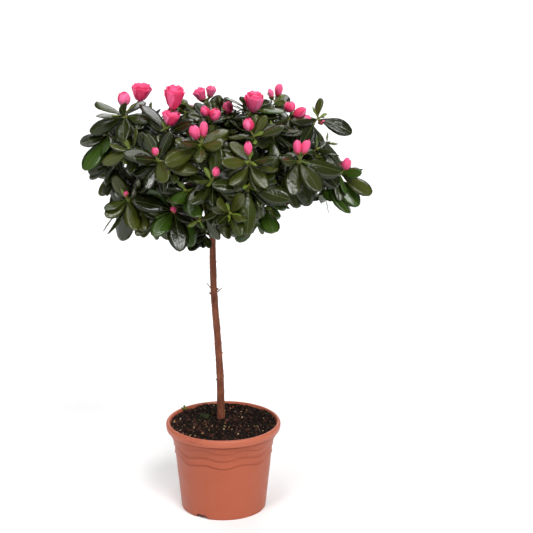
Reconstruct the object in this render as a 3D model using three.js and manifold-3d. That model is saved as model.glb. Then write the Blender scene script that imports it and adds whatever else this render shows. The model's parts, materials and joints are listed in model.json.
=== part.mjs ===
// Azalea grown as a standard: a bare trunk in a round nursery pot and a flat-topped crown of leaf rosettes
// with pink buds.
// Millimetres, +Z up. The photograph is taken from -Y. The origin is the centre of the pot's underside.
import * as THREE from 'three';
import { mergeVertices } from 'three/addons/utils/BufferGeometryUtils.js';
import Module from 'manifold-3d';

const wasm = await Module();
wasm.setup();

const GAP = 0.3; // clear gap between neighbouring solids
const SLIVER = 0.03; // faces that a fused solid may lose without its surface moving further than this
const TURN = Math.PI * 2;
const GOLDEN_ANGLE = TURN * 0.381966;

// Pot
const POT_HEIGHT = 118;
const POT_SIDES = 48;
const RIM_RADIUS = 75;
const RIM_HEIGHT = 10;
const WALL_TOP_RADIUS = 66.4;
const WALL_FLARE = { height: 20, reach: 1.8 }; // right under the rim
const FOOT_RADIUS = 55.4;
const WALL = 1.8;
const FLOOR_UNDERSIDE = 5;
const FLOOR_TOP = 7.4;
const HUB_RADIUS = 12;
const NOTCH_COUNT = 3;
const NOTCH_AZIMUTH = -122; // degrees, a little left of the front
const NOTCH_TOP_WIDTH = 13;
const NOTCH_FOOT_WIDTH = 20;
const NOTCH_HEIGHT = 4.6;

// Soil
const SOIL_EDGE_HEIGHT = 115;
const SOIL_SEAT_HEIGHT = 116.5;
const SOIL_SEAT_RADIUS = 25;

// Trunk: centre line from the soil to the last fork, and radii with the root flare
const TRUNK_Y = 14;
const TRUNK_SIDES = 9;
const TRUNK_STEPS = 12;
const TRUNK_LINE = [
  [-3, TRUNK_Y, SOIL_SEAT_HEIGHT + GAP],
  [-3.3, TRUNK_Y, 135],
  [-3.6, TRUNK_Y, 170],
  [-6.4, TRUNK_Y, 222],
  [-11, TRUNK_Y, 290],
  [-12.2, TRUNK_Y, 345],
  [-12, TRUNK_Y, 384],
  [-11, TRUNK_Y, 410],
];
const TRUNK_RADII = [ // share of the trunk's length, radius
  [0, 6.4],
  [0.035, 5.2],
  [0.09, 4.8],
  [0.3, 4.5],
  [0.7, 4.1],
  [0.88, 3.9],
  [1, 3.4],
];

// Crown: a flattened dome that the shoot tips lie on, measured from its middle
const CROWN = {
  x: 2,
  y: 8,
  z: 452,
  reachX: 150,
  reachY: 136,
  rise: 79,
  fall: 66,
  backFall: 0.26,
  rightFall: 0.08,
};
const CROWN_LOWEST_POLAR = 142; // degrees from straight up
const LOWEST_SHOOT = 411;
// The lower edge of the crown climbs to the right, steps up there, and falls towards the back along the
// line of sight.
const RIGHT_RISE = { from: -20, slope: 0.3, step: 46, lift: 20 };
const VIEW_SLOPE = 0.22;
const LIGHT_PULL = [0, -0.35, 0.3]; // shoots lean up and forward
const DOME_SHOOTS = 240;
const SHOOT_SPACING = 38.5;
const REAR_BLOOM = { chance: 0.7, from: 58 }; // shoots of the rule bloom only behind this depth

// The crown's upper and lower edge as seen from the front: [across, seen height]
const SEEN_TOP = [
  [-178, 498],
  [-161, 526],
  [-146, 542],
  [-9, 553],
  [51, 551],
  [87, 547],
  [102, 531],
  [120, 515],
  [136, 480],
  [190, 446],
];
const SEEN_BOTTOM = [
  [-180, 454],
  [-153, 443],
  [-148, 380],
  [-69, 366],
  [-21, 352],
  [-12, 370],
  [67, 376],
  [78, 401],
  [116, 414],
  [165, 400],
  [190, 419],
];

// Shoots seen in the photograph. Blooms are [across, up, width, length, kind] from the shoot's tip. Leaves
// are [share of the twig where the leaf is rooted, its tip across, back and up from the shoot's tip], and
// where it matters the degrees that its face is turned from the viewer.
const SEEN_SHOOTS = [
  {
    at: [-121, -20, 532],
    blooms: [[1, 20, 17, 17, 'bud'], [22, 28, 24, 22, 'open']],
    leaves: [
      [1, -1, -19, 18],
      [1, -36, 25, 10, 78],
      [1, -34, -12, 3, 65],
      [1, 39, -21, -3],
      [1, 43, 19, -4, 70],
      [1, 0, -42, -26, 15],
      [1, -42, -3, -20, 35],
      [1, 40, -29, -33, 30],
      [1, 24, 32, 11, 65],
    ],
  },
  {
    at: [-142, -12, 505],
    leaves: [
      [1, -27, -27, -40, 35],
      [1, -32, -17, -8, 40],
      [1, -6, -38, -22],
    ],
  },
  {
    at: [-139, -14, 470],
    leaves: [
      [1, -29, 18, -22, 35],
      [1, -1, -38, -11],
    ],
  },
  {
    at: [-44, -104, 456],
    leaves: [
      [1, 14, -31, -24, 25],
      [1, -15, -27, -13, 25],
    ],
  },
  {
    at: [-90, -66, 414],
  },
  {
    at: [50, -88, 430],
    leaves: [
      [1, 13, -32, -24, 20],
      [0.8, -33, 7, -44, 45],
      [1, 22, 20, -15],
    ],
  },
  {
    at: [-78, -95, 492],
    blooms: [[-2, 11, 9, 11, 'bud']],
    leaves: [
      [1, -26, -18, 5, 40],
      [1, 12, -37, -20],
      [1, 16, 8, 33, 15],
      [1, 48, -19, -5],
      [1, -40, 18, 7],
    ],
  },
  {
    at: [-118, -60, 434],
    blooms: [[0, 7, 7, 7, 'tiny']],
    leaves: [
      [1, 22, 35, 16, 20],
      [1, -8, 30, 18],
      [1, -26, -14, -8],
      [1, -20, -24, -15, 30],
      [0.9, -28, -18, -34, 78],
      [0.85, -22, -10, -43, 80],
      [1, 13, -32, -30, 15],
      [0.85, -11, 12, -57, 15],
      [1, 29, -20, 1],
    ],
  },
  {
    at: [-58, -90, 426],
    blooms: [[-1, 3, 8, 9, 'tiny']],
    leaves: [
      [1, 8, -33, -38, 10],
      [1, 30, -28, -7, 50],
      [1, -27, -26, -22, 20],
      [0.85, 22, 6, -45, 20],
    ],
  },
  {
    at: [-69, -65, 524],
    blooms: [[12, 39, 23, 30, 'open'], [8, 13, 21, 19, 'open']],
    leaves: [
      [1, -19, -37, -4, 30],
      [1, -27, 33, 25, 60],
      [1, -20, 29, 8, 40],
    ],
  },
  {
    at: [-20, 30, 539],
    blooms: [[-6, 7, 15, 18, 'open'], [7, 11, 12, 14, 'open']],
  },
  {
    at: [-14, -45, 532],
    blooms: [[-6, 9, 12, 12, 'bud'], [6, 5, 15, 15, 'bud']],
  },
  {
    at: [-24, -95, 512],
    blooms: [[-8, 14, 14, 18, 'candle'], [3, 18, 11, 21, 'candle']],
    leaves: [
      [1, -24, -22, 4],
      [1, 22, -26, 5],
      [1, -2, -35, -13],
      [1, 30, 33, 12],
    ],
  },
  {
    at: [8, 0, 530],
    blooms: [[0, 6, 14, 15, 'bud']],
  },
  {
    at: [41, -20, 539],
    blooms: [[0, 8, 23, 26, 'open']],
    leaves: [
      [1, 36, -18, 2, 60],
    ],
  },
  {
    at: [39, -80, 518],
    blooms: [[-6, 14, 14, 15, 'bud']],
    leaves: [
      [1, 37, -12, 14],
      [1, -31, 29, -5],
      [1, 5, -33, -13],
    ],
  },
  {
    at: [34, -115, 495],
    blooms: [[-2, 16, 11, 17, 'candle']],
    leaves: [
      [1, -21, 33, 17],
      [1, 28, 29, 16],
      [1, -34, -19, 1],
      [1, 34, -16, 11],
      [1, -5, -32, -13],
    ],
  },
  {
    at: [-13, -120, 472],
    blooms: [[6, 11, 10, 11, 'bud']],
    leaves: [
      [1, -33, 33, 3],
      [1, -25, -30, -19],
      [1, 9, -30, -16],
      [1, 33, 25, 7],
      [1, -9, 30, 31, 25],
      [1, 9, 24, 35, 20],
    ],
  },
  {
    at: [33, -118, 466],
    leaves: [
      [0.9, -1, -14, -58],
      [1, 47, -4, -19, 20],
      [1, -44, -11, 4],
      [1, 31, 28, 14],
      [0.9, -40, -10, -46],
    ],
  },
  {
    at: [70, 40, 535],
    blooms: [[-7, 10, 8, 14, 'candle'], [3, 15, 11, 17, 'candle']],
    leaves: [
      [1, 16, 31, 0, 45],
      [1, 9, -27, 3, 45],
    ],
  },
  {
    at: [88, -15, 533],
    blooms: [[-3, 7, 15, 13, 'bud'], [9, -1, 13, 19, 'bud'], [19, -9, 11, 10, 'bud']],
  },
  {
    at: [122, -10, 525],
    blooms: [[4, -6, 6, 8, 'bud']],
    leaves: [
      [1, 2, 24, 19, 55],
      [1, 41, -4, -17, 25],
      [0.8, 28, -17, -61, 58],
      [1, -35, -25, 3],
      [1, -27, 20, -28],
    ],
  },
  {
    at: [95, -85, 488],
    blooms: [[-3, 17, 11, 19, 'candle'], [7, 17, 11, 19, 'candle']],
    leaves: [
      [1, 24, -32, -28, 20],
      [1, -12, -28, -36],
      [1, 51, 15, -17, 25],
      [1, -22, -27, 5],
      [0.85, 9, -4, -56, 20],
      [0.8, -5, -4, -59, 30],
    ],
  },
  {
    at: [153, -10, 455],
    blooms: [[4, 10, 12, 15, 'bud']],
    leaves: [
      [0.65, -20, -13, -51, 75],
      [0.7, -14, -10, -38, 20],
      [0.75, 7, -15, -53, 52],
      [0.85, 20, -11, -40, 20],
      [0.95, 34, -8, -29, 50],
      [1, 21, -22, 3, 25],
      [1, 23, 25, 0, 75],
    ],
  },
];
const TRUNK_SHOOT = {
  at: [-26, -10, 377],
  height: 366,
  size: 0.62,
  leaves: [
    [1, -14, -20, -19, 35],
    [1, 10, -12, -16, 35],
    [1, 21, -4, 3, 50],
  ],
};

// Masses of leaves in rings round the crown. Each has a bough from the trunk.
const RINGS = [
  {
    level: 'low',
    ways: ['right', 'back_right', 'back_left', 'front_left', 'front_right'],
    from: 0,
    polar: 105,
    forks: [376, 384, 379, 387, 380],
  },
  {
    level: 'high',
    ways: ['back_right', 'back_left', 'front_left', 'front_right'],
    from: 45,
    polar: 60,
    forks: [396, 402, 394, 404],
  },
  {
    level: 'top',
    ways: ['middle'],
    from: 90,
    polar: 3,
    forks: [410],
  },
];
const BOUGH_SHARE = 0.46; // of the way from the trunk to the middle of its mass
const BOUGH_BASE_RADIUS = 2.4;
const BOUGH_TIP_RADIUS = 1.8;
const LEADER_BASE_RADIUS = 3;
const STEM_LENGTH = 24;
const STEM_RADII = [1.7, 1.4];
const TWIG_RADII = [1.9, 1.7];
const TWIG_STEPS = 3;

// Leaves
const LEAF_LENGTH = 54;
const LEAF_WIDTH = 0.48; // of its length
const LEAF_THICKNESS = 1.3;
const LEAF_ROOT = 0.8; // sunk past the twig's axis
const SPACE_MARGIN = 0.9;
const LIMB_MARGIN = 1.2;
const TWIG_OVERLAP = 34; // how far a leaf may reach past the middle towards the next twig of its own mass
const SPIN_SPREAD = 1.2;
const LEAF_CLEARANCE = 1.5; // between leaves of one mass
// Degrees raised, share of the length
const LEAF_TRIES = [[0, 1], [14, 1], [28, 1], [0, 0.8], [14, 0.8], [28, 0.75]];
const LEAF_TESTS = [0.22, 0.36, 0.5, 0.64, 0.78, 0.9, 1];
const LEAF_HALF_WIDTHS = [[0, 0], [0.56, 0.5], [0.96, 0.22], [1.1, 0]];
const BLOOM_SIDES = 6;
// Widths low and high on a bloom
const BLOOM_WIDTHS = { tiny: [0.8, 1], bud: [1, 0.8], candle: [1, 0.9], open: [0.75, 1] };
const ROSETTE = { outer: 8, tries: 12, leaves: 6, depth: 11 };
const INNER_TILT = 22; // degrees more for the inner leaves of a shoot that points straight up
const SEEN_DEPTH = 3; // of their roots below the shoot's tip
// Share of its length by which the tip goes back, share of the length
const SEEN_TRIES = [[0, 1], [0.15, 1], [-0.15, 1], [0.3, 1], [-0.3, 1], [0, 0.85], [0.2, 0.85], [-0.2, 0.85]];
const TWIG_LEAVES = [0.6, 0.72, 0.5]; // share of the twig, in the order they are tried
const MOST_TWIG_LEAVES = 1;
const FRESH_GREEN = 0x5f8a2c;

const material = (name, color, roughness) => {
  const made = new THREE.MeshStandardMaterial({ color, roughness, metalness: 0 });
  made.name = name;
  return made;
};

const object = new THREE.Group();
object.name = 'azalea_shrub';

function addNode(name, geometry, kind, color, roughness) {
  const mesh = new THREE.Mesh(geometry, material(kind, color, roughness));
  mesh.name = name;
  object.add(mesh);
}

// Vectors
const v = (x, y, z) => new THREE.Vector3(x, y, z);
const UP = v(0, 0, 1);
const TO_VIEWER = v(0, -1, VIEW_SLOPE).normalize();
const radians = (degrees) => degrees * Math.PI / 180;
const along = (from, direction, distance) => from.clone().addScaledVector(direction, distance);
const headed = (from, to) => to.clone().sub(from).normalize();

function across(direction) {
  const other = Math.abs(direction.z) < 0.9 ? UP : v(1, 0, 0);
  return other.clone().cross(direction).normalize();
}

function distanceToSegment(point, [from, to]) {
  const span = to.clone().sub(from);
  const share = THREE.MathUtils.clamp(point.clone().sub(from).dot(span) / span.lengthSq(), 0, 1);
  return point.distanceTo(along(from, span, share));
}

// Seeded numbers from 0 to 1
function seeded(seed) {
  let state = Math.imul(seed + 1, 2654435761) >>> 0;
  const next = () => {
    state = (Math.imul(state, 1664525) + 1013904223) >>> 0;
    return state / 4294967296;
  };
  next();
  next();
  return next;
}

// Solids
function toSolid(geometry) {
  geometry.deleteAttribute('normal');
  geometry.deleteAttribute('uv');
  const merged = mergeVertices(geometry, 1e-3);
  const vertProperties = new Float32Array(merged.attributes.position.array);
  const triVerts = new Uint32Array(merged.index.array);
  return new wasm.Manifold(new wasm.Mesh({ numProp: 3, vertProperties, triVerts }));
}

function toGeometry(solid) {
  const made = solid.getMesh();
  const geometry = new THREE.BufferGeometry();
  geometry.setAttribute('position', new THREE.BufferAttribute(new Float32Array(made.vertProperties), 3));
  geometry.setIndex(Array.from(made.triVerts));
  return geometry;
}

// The largest outer body of a fused solid: loose scraps are dropped and sealed hollows are filled.
function oneBody(solid) {
  return solid.decompose().reduce((best, body) => (body.volume() > best.volume() ? body : best));
}

// The same without slivers and with vertices closer than a micrometre joined, which can set a scrap loose
function fuse(solids) {
  const joined = oneBody(wasm.Manifold.union(solids));
  const clean = oneBody(toSolid(toGeometry(joined)).simplify(SLIVER));
  return oneBody(toSolid(toGeometry(clean)));
}

function moveVertices(geometry, place) {
  const position = geometry.attributes.position;
  for (let i = 0; i < position.count; i += 1) {
    const moved = place(v(position.getX(i), position.getY(i), position.getZ(i)));
    position.setXYZ(i, moved.x, moved.y, moved.z);
  }
  return geometry;
}

// A closed tapering round bar laid along a curve
function bar(curve, radiusAt, sides, steps) {
  const side = across(curve.getTangentAt(0.5));
  return moveVertices(new THREE.CylinderGeometry(1, 1, 1, sides, steps), (at) => {
    const share = at.y + 0.5;
    const tangent = curve.getTangentAt(share);
    const first = along(side, tangent, -side.dot(tangent)).normalize();
    const second = first.clone().cross(tangent);
    const radius = radiusAt(share);
    return along(along(curve.getPointAt(share), first, at.x * radius), second, at.z * radius);
  });
}

// The middle of a bar at a share of its curve, where its straight steps run
function onBar(curve, steps, share) {
  const step = Math.min(steps - 1, Math.floor(share * steps));
  return curve.getPointAt(step / steps).lerp(curve.getPointAt((step + 1) / steps), share * steps - step);
}

// A point in the middle of a shoot's twig, a distance short of its tip
function belowTip({ twig }, distance) {
  return onBar(twig, TWIG_STEPS, 1 - distance / twig.getLength());
}

// A value between the nearest two stops of [position, value]
function between(stops) {
  return (position) => {
    const next = Math.max(1, stops.findIndex(([stop]) => stop >= position - 1e-9));
    const [from, fromValue] = stops[next - 1];
    const [to, toValue] = stops[next];
    return THREE.MathUtils.mapLinear(position, from, to, fromValue, toValue);
  };
}

const seenTop = between(SEEN_TOP);
const seenBottom = between(SEEN_BOTTOM);

// Pot: one lathe with the foot ring, the hub, the raised floor and the rim band, then the notches
const rimFoot = POT_HEIGHT - RIM_HEIGHT;
const outerRadius = (height) => THREE.MathUtils.mapLinear(height, 0, rimFoot, FOOT_RADIUS, WALL_TOP_RADIUS);
const innerRadius = (height) => outerRadius(height) - WALL;

function latheSolid(profile, sides) {
  const points = profile.map(([radius, height]) => new THREE.Vector2(radius, height));
  const geometry = new THREE.LatheGeometry(points, sides);
  geometry.rotateX(Math.PI / 2);
  return toSolid(geometry);
}

let pot = latheSolid([
  [0, 0],
  [HUB_RADIUS, 0],
  [HUB_RADIUS + 1, FLOOR_UNDERSIDE],
  [FOOT_RADIUS - 5, FLOOR_UNDERSIDE],
  [FOOT_RADIUS - 4.4, 0],
  [FOOT_RADIUS - 0.6, 0],
  [outerRadius(rimFoot - WALL_FLARE.height), rimFoot - WALL_FLARE.height],
  [outerRadius(rimFoot) + WALL_FLARE.reach, rimFoot - 0.6],
  [RIM_RADIUS - 1, rimFoot],
  [RIM_RADIUS, POT_HEIGHT - 3.4],
  [RIM_RADIUS - 2.4, POT_HEIGHT],
  [RIM_RADIUS - 4.4, POT_HEIGHT],
  [RIM_RADIUS - 6, POT_HEIGHT - 6],
  [innerRadius(rimFoot - 3), rimFoot - 3],
  [innerRadius(FLOOR_TOP), FLOOR_TOP],
  [0, FLOOR_TOP],
], POT_SIDES);

for (let i = 0; i < NOTCH_COUNT; i += 1) {
  const outline = new THREE.Shape([
    new THREE.Vector2(-NOTCH_FOOT_WIDTH / 2, -1),
    new THREE.Vector2(NOTCH_FOOT_WIDTH / 2, -1),
    new THREE.Vector2(NOTCH_TOP_WIDTH / 2, NOTCH_HEIGHT),
    new THREE.Vector2(-NOTCH_TOP_WIDTH / 2, NOTCH_HEIGHT),
  ]);
  const cutter = new THREE.ExtrudeGeometry(outline, { depth: 12, bevelEnabled: false });
  cutter.rotateX(Math.PI / 2);
  cutter.translate(0, FOOT_RADIUS + 5, 0);
  cutter.rotateZ(radians(NOTCH_AZIMUTH - 90) + i * TURN / NOTCH_COUNT);
  pot = pot.subtract(toSolid(cutter));
}
addNode('pot', toGeometry(oneBody(pot)), 'terracotta_plastic', 0xb9623f, 0.5);

const soil = latheSolid([
  [0, FLOOR_TOP + GAP],
  [innerRadius(FLOOR_TOP) - GAP, FLOOR_TOP + GAP],
  [innerRadius(rimFoot - 3) - GAP, rimFoot - 3],
  [RIM_RADIUS - 6 - GAP - 0.9, SOIL_EDGE_HEIGHT],
  [50, SOIL_EDGE_HEIGHT + 1],
  [SOIL_SEAT_RADIUS, SOIL_SEAT_HEIGHT],
  [0, SOIL_SEAT_HEIGHT],
], POT_SIDES / 2);
addNode('soil', toGeometry(soil), 'soil', 0x3b2a20, 0.95);

// Trunk
const trunkCurve = new THREE.CatmullRomCurve3(TRUNK_LINE.map((point) => v(...point)));
const trunkRadius = between(TRUNK_RADII);
const trunkSolid = toSolid(bar(trunkCurve, trunkRadius, TRUNK_SIDES, TRUNK_STEPS));
const trunkSheath = toSolid(bar(trunkCurve, (share) => trunkRadius(share) + GAP, TRUNK_SIDES, TRUNK_STEPS));
addNode('trunk', toGeometry(trunkSolid), 'bark', 0x8a5a3c, 0.8);

function trunkAt(height) {
  let low = 0;
  let high = 1;
  for (let i = 0; i < 40; i += 1) {
    const middle = (low + high) / 2;
    if (trunkCurve.getPointAt(middle).z < height) low = middle;
    else high = middle;
  }
  return { share: low, point: trunkCurve.getPointAt(low), radius: trunkRadius(low) };
}

// Limbs as chains of points with radii, for keeping leaves off them
const limbPoints = [];

function noteLimb(name, curve, radiusAt) {
  const steps = Math.ceil(curve.getLength() / 3);
  for (let i = 0; i <= steps; i += 1) {
    limbPoints.push({ name, point: curve.getPointAt(i / steps), radius: radiusAt(i / steps) });
  }
}

noteLimb('trunk', trunkCurve, trunkRadius);

// Crown: where the shoot tips are and which way they face
function crownPoint(azimuth, polar) {
  const spread = Math.sin(polar) ** 0.8;
  const height = Math.cos(polar);
  const x = CROWN.x + CROWN.reachX * spread * Math.cos(azimuth);
  const y = CROWN.y + CROWN.reachY * spread * Math.sin(azimuth);
  const lift = height > 0 ? CROWN.rise * height ** 0.8 : CROWN.fall * height;
  const drop = CROWN.backFall * Math.max(0, y - CROWN.y) + CROWN.rightFall * Math.max(0, x - CROWN.x);
  return v(x, y, CROWN.z + lift - drop);
}

function facing(tip) {
  const outward = headed(v(CROWN.x, CROWN.y, CROWN.z - 20), tip);
  return outward.add(v(...LIGHT_PULL)).normalize();
}

const shoots = SEEN_SHOOTS.map(({ at, blooms = [], leaves = [] }) => (
  { tip: v(...at), blooms, seen: leaves }
));
const seenBlooms = shoots.flatMap(({ tip, blooms }) => blooms.map(([sideways, up, width, length]) => (
  { middle: tip.clone().add(v(sideways, 0, up)), radius: (width + length) / 4 + 1 }
)));

// The lowest height of a shoot's tip at a place in the crown
function crownFloor(tip) {
  const climb = RIGHT_RISE.slope * Math.max(0, tip.x - RIGHT_RISE.from);
  const step = tip.x > RIGHT_RISE.step ? RIGHT_RISE.lift : 0;
  return LOWEST_SHOOT + climb + step - VIEW_SLOPE * Math.max(0, tip.y);
}

for (let i = 0; i < DOME_SHOOTS; i += 1) {
  const lowest = Math.cos(radians(CROWN_LOWEST_POLAR));
  const polar = Math.acos(1 - (1 - lowest) * (i + 0.5) / DOME_SHOOTS);
  const tip = crownPoint(i * GOLDEN_ANGLE, polar);
  const random = seeded(700 + i);
  tip.add(v(random() - 0.5, random() - 0.5, random() - 0.5).multiplyScalar(12));
  const crowded = shoots.some((shoot) => shoot.tip.distanceTo(tip) < SHOOT_SPACING);
  if (tip.z > crownFloor(tip) && !crowded) {
    const chance = random();
    const size = 10 + 5 * random();
    const kind = chance < 0.2 ? 'candle' : 'bud';
    const bloom = [0, 13, size, size * (kind === 'candle' ? 1.6 : 1.2), kind];
    const blooming = chance < REAR_BLOOM.chance && tip.z > CROWN.z && tip.y > REAR_BLOOM.from;
    shoots.push({ tip, blooms: blooming ? [bloom] : [], seen: [] });
  }
}

for (const shoot of shoots) {
  shoot.axis = facing(shoot.tip);
}

// Masses: a bough each, a stem that goes on from its tip, and the shoots nearest to its middle
const masses = [];

for (const ring of RINGS) {
  ring.ways.forEach((way, i) => {
    const azimuth = radians(ring.from) + i * TURN / ring.ways.length;
    const middle = crownPoint(azimuth, radians(ring.polar));
    const root = trunkAt(ring.forks[i]);
    const isTop = ring.level === 'top';
    const start = root.point.clone();
    if (isTop) {
      start.z += GAP;
    }
    const end = start.clone().lerp(middle, BOUGH_SHARE);
    const reach = start.distanceTo(end);
    const outward = headed(start, end);
    const knee = along(start, outward, reach * 0.5).add(v(0, 0, isTop ? 4 : -5));
    const curve = new THREE.QuadraticBezierCurve3(start, knee, end);
    const base = isTop ? LEADER_BASE_RADIUS : BOUGH_BASE_RADIUS;
    const radiusAt = (share) => THREE.MathUtils.lerp(base, BOUGH_TIP_RADIUS, share);
    const name = `${ring.level}_${way}`;
    noteLimb(name, curve, radiusAt);
    const solid = toSolid(bar(curve, radiusAt, 5, 3)).subtract(trunkSheath);
    addNode(`bough_${name}`, toGeometry(oneBody(solid)), 'bark', 0x8a5a3c, 0.8);
    const heading = curve.getTangentAt(1);
    const stemFrom = along(end, heading, GAP);
    const stemTo = along(stemFrom, heading, STEM_LENGTH);
    masses.push({ name, middle, stemFrom, stemTo, heading, shoots: [], leaves: [] });
  });
}

const trunkShootRoot = trunkAt(TRUNK_SHOOT.height);
const trunkShootTip = v(...TRUNK_SHOOT.at);
const trunkShootWay = headed(trunkShootRoot.point, trunkShootTip);
const trunkShootFrom = along(trunkShootRoot.point, trunkShootWay, trunkShootRoot.radius + GAP + 0.2);

for (const shoot of shoots) {
  const gap = (mass) => mass.middle.distanceTo(shoot.tip);
  const nearest = masses.reduce((best, mass) => (gap(mass) < gap(best) ? mass : best));
  nearest.shoots.push(shoot);
}

masses.push({
  name: 'trunk_shoot',
  stemFrom: trunkShootFrom,
  stemTo: along(trunkShootFrom, trunkShootWay, 10),
  heading: trunkShootWay,
  shoots: [{
    tip: trunkShootTip,
    axis: v(-0.35, -0.75, 0.45).normalize(),
    blooms: [],
    seen: TRUNK_SHOOT.leaves,
    size: TRUNK_SHOOT.size,
  }],
  leaves: [],
});

// The space of a mass is all that lies nearer to its own stem, twigs and seen leaves than to another mass's.
for (const mass of masses) {
  mass.shoots.forEach((shoot, i) => {
    const share = 0.35 + 0.6 * (i + 0.5) / mass.shoots.length;
    shoot.from = mass.stemFrom.clone().lerp(mass.stemTo, share);
    const span = shoot.from.distanceTo(shoot.tip);
    shoot.twig = new THREE.CubicBezierCurve3(
      shoot.from,
      along(shoot.from, mass.heading, span * 0.3),
      along(shoot.tip, shoot.axis, -span * 0.25),
      shoot.tip,
    );
    shoot.seenLines = shoot.seen.map(([share, x, y, z, turn]) => {
      const root = share < 1 ? onBar(shoot.twig, TWIG_STEPS, share) : belowTip(shoot, SEEN_DEPTH);
      return { root, tip: shoot.tip.clone().add(v(x, y, z)), turn };
    });
  });
  mass.bones = [
    [mass.stemFrom, mass.stemTo],
    ...mass.shoots.map((shoot) => [shoot.from, shoot.tip]),
    ...mass.shoots.flatMap((shoot) => shoot.seenLines.map(({ root, tip }) => [root, tip])),
  ];
}

const nearestBone = (point, mass) => Math.min(...mass.bones.map((bone) => distanceToSegment(point, bone)));

function inSpace(point, mass, shoot, overlap) {
  const own = nearestBone(point, mass) + SPACE_MARGIN;
  const free = masses.every((other) => other === mass || nearestBone(point, other) > own);
  const offLimbs = limbPoints.every((limb) => point.distanceTo(limb.point) > limb.radius + LIMB_MARGIN);
  const toOwnTwig = distanceToSegment(point, [shoot.from, shoot.tip]) - overlap;
  const apart = mass.shoots.every((other) => (
    other === shoot || distanceToSegment(point, [other.from, other.tip]) > toOwnTwig
  ));
  return free && offLimbs && apart;
}

// A leaf: a thin closed solid with a narrow root, broadest past its middle, its blunt tip bent away from its
// upper side
function leafFrame(root, direction, face) {
  const side = direction.clone().cross(face).normalize();
  return { root, direction, side, face: side.clone().cross(direction) };
}

function leafBend(length, share, sideways) {
  return -length * (0.16 * share * share + 0.12 * LEAF_WIDTH * Math.abs(sideways));
}

function onLeaf({ root, direction, side, face }, length, share, sideways, lift) {
  const bend = leafBend(length, share, sideways);
  const point = along(root, direction, length * share);
  point.addScaledVector(side, length * LEAF_WIDTH * sideways);
  return point.addScaledVector(face, bend + lift);
}

// The corners of a leaf as shares of its length and of its width
const LEAF_OUTLINE = [[0, 0], [0.56, 0.5], [0.96, 0.22], [0.96, -0.22], [0.56, -0.5]];

function leafSolid(frame, length) {
  const corners = LEAF_OUTLINE.length;
  return toSolid(moveVertices(new THREE.SphereGeometry(1, corners, 2), (at) => {
    if (Math.abs(at.y) > 0.5) {
      return onLeaf(frame, length, 0.38, 0, -Math.sign(at.y) * LEAF_THICKNESS / 2);
    }
    const corner = Math.round((Math.atan2(at.z, at.x) / TURN + 1.5) * corners) % corners;
    return onLeaf(frame, length, ...LEAF_OUTLINE[corner], 0);
  }));
}

// Half of the leaf's width at a share of its length, as a share of its full width
const halfWidth = between(LEAF_HALF_WIDTHS);

// Three rows of points along a leaf: its two edges and its midrib
function leafRows({ frame, length }) {
  return [-1, 0, 1].map((edge) => (
    LEAF_TESTS.map((share) => onLeaf(frame, length, share, edge * halfWidth(share), 0))
  ));
}

// Where a point is over a leaf: inside its outline or not, and how far above its surface
function overLeaf(point, { frame, length }) {
  const from = point.clone().sub(frame.root);
  const share = from.dot(frame.direction) / length;
  const sideways = from.dot(frame.side) / (length * LEAF_WIDTH);
  const inside = share > 0.16 && share < 1.02 && Math.abs(sideways) < halfWidth(Math.min(share, 1)) + 0.05;
  return { inside, height: from.dot(frame.face) - leafBend(length, share, sideways) };
}

function passesThrough(rows, leaf) {
  return rows.some((row) => {
    let before = null;
    return row.some((point) => {
      const now = overLeaf(point, leaf);
      const touches = now.inside && Math.abs(now.height) < LEAF_CLEARANCE;
      const crosses = before && (now.inside || before.inside) && now.height * before.height < 0
        && Math.abs(now.height - before.height) < 12;
      before = now;
      return touches || crosses;
    });
  });
}

function meets(leaf, other) {
  return passesThrough(leaf.rows, other) || passesThrough(other.rows, leaf);
}

// Whether a point lies inside the crown's outline as seen from the front
function inOutline(point) {
  const height = point.z + VIEW_SLOPE * point.y;
  return height > seenBottom(point.x) && height < seenTop(point.x);
}

// Whether any of the points stands between the viewer and a bloom that is seen from the front
function hidesBloom(points) {
  return points.some((point) => seenBlooms.some(({ middle, radius }) => {
    const away = point.clone().sub(middle);
    const nearer = away.dot(TO_VIEWER);
    return nearer > 0 && away.addScaledVector(TO_VIEWER, -nearer).length() < radius;
  }));
}

function isFree(leaf, mass, shoot, overlap) {
  const inside = leaf.rows.every((row) => row.every((point) => inSpace(point, mass, shoot, overlap)));
  return inside && !mass.leaves.some((other) => meets(leaf, other));
}

function leafAt(at, direction, face, length) {
  const leaf = { frame: leafFrame(along(at, direction, -LEAF_ROOT), direction, face), length };
  leaf.rows = leafRows(leaf);
  return leaf;
}

// The upper side of a seen leaf: turned from the viewer by its own angle, or the way its shoot points
function seenFace(shoot, { root, tip, turn }) {
  if (turn === undefined) {
    return along(shoot.axis, UP, 0.35);
  }
  const way = headed(root, tip);
  const edge = TO_VIEWER.clone().cross(way).normalize();
  edge.multiplyScalar(Math.sign(edge.z) || 1);
  const broad = TO_VIEWER.clone().projectOnPlane(way).normalize();
  return broad.multiplyScalar(Math.cos(radians(turn))).addScaledVector(edge, Math.sin(radians(turn)));
}

// Places the leaves of a shoot that are given by their tips. Their bend is allowed for.
function placeSeenLeaves(mass, shoot) {
  for (const line of shoot.seenLines) {
    const { root } = line;
    const face = seenFace(shoot, line);
    for (const [back, shrink] of SEEN_TRIES) {
      const reach = root.distanceTo(line.tip) * shrink;
      const tip = along(line.tip, TO_VIEWER, -back * reach);
      const lift = face.clone().projectOnPlane(headed(root, tip)).normalize();
      const direction = headed(root, along(tip, lift, 0.16 * reach));
      const leaf = leafAt(root, direction, face, reach * 1.02);
      if (isFree(leaf, mass, shoot, Infinity)) {
        mass.leaves.push(leaf);
        shoot.placed += 1;
        break;
      }
    }
  }
}

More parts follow.
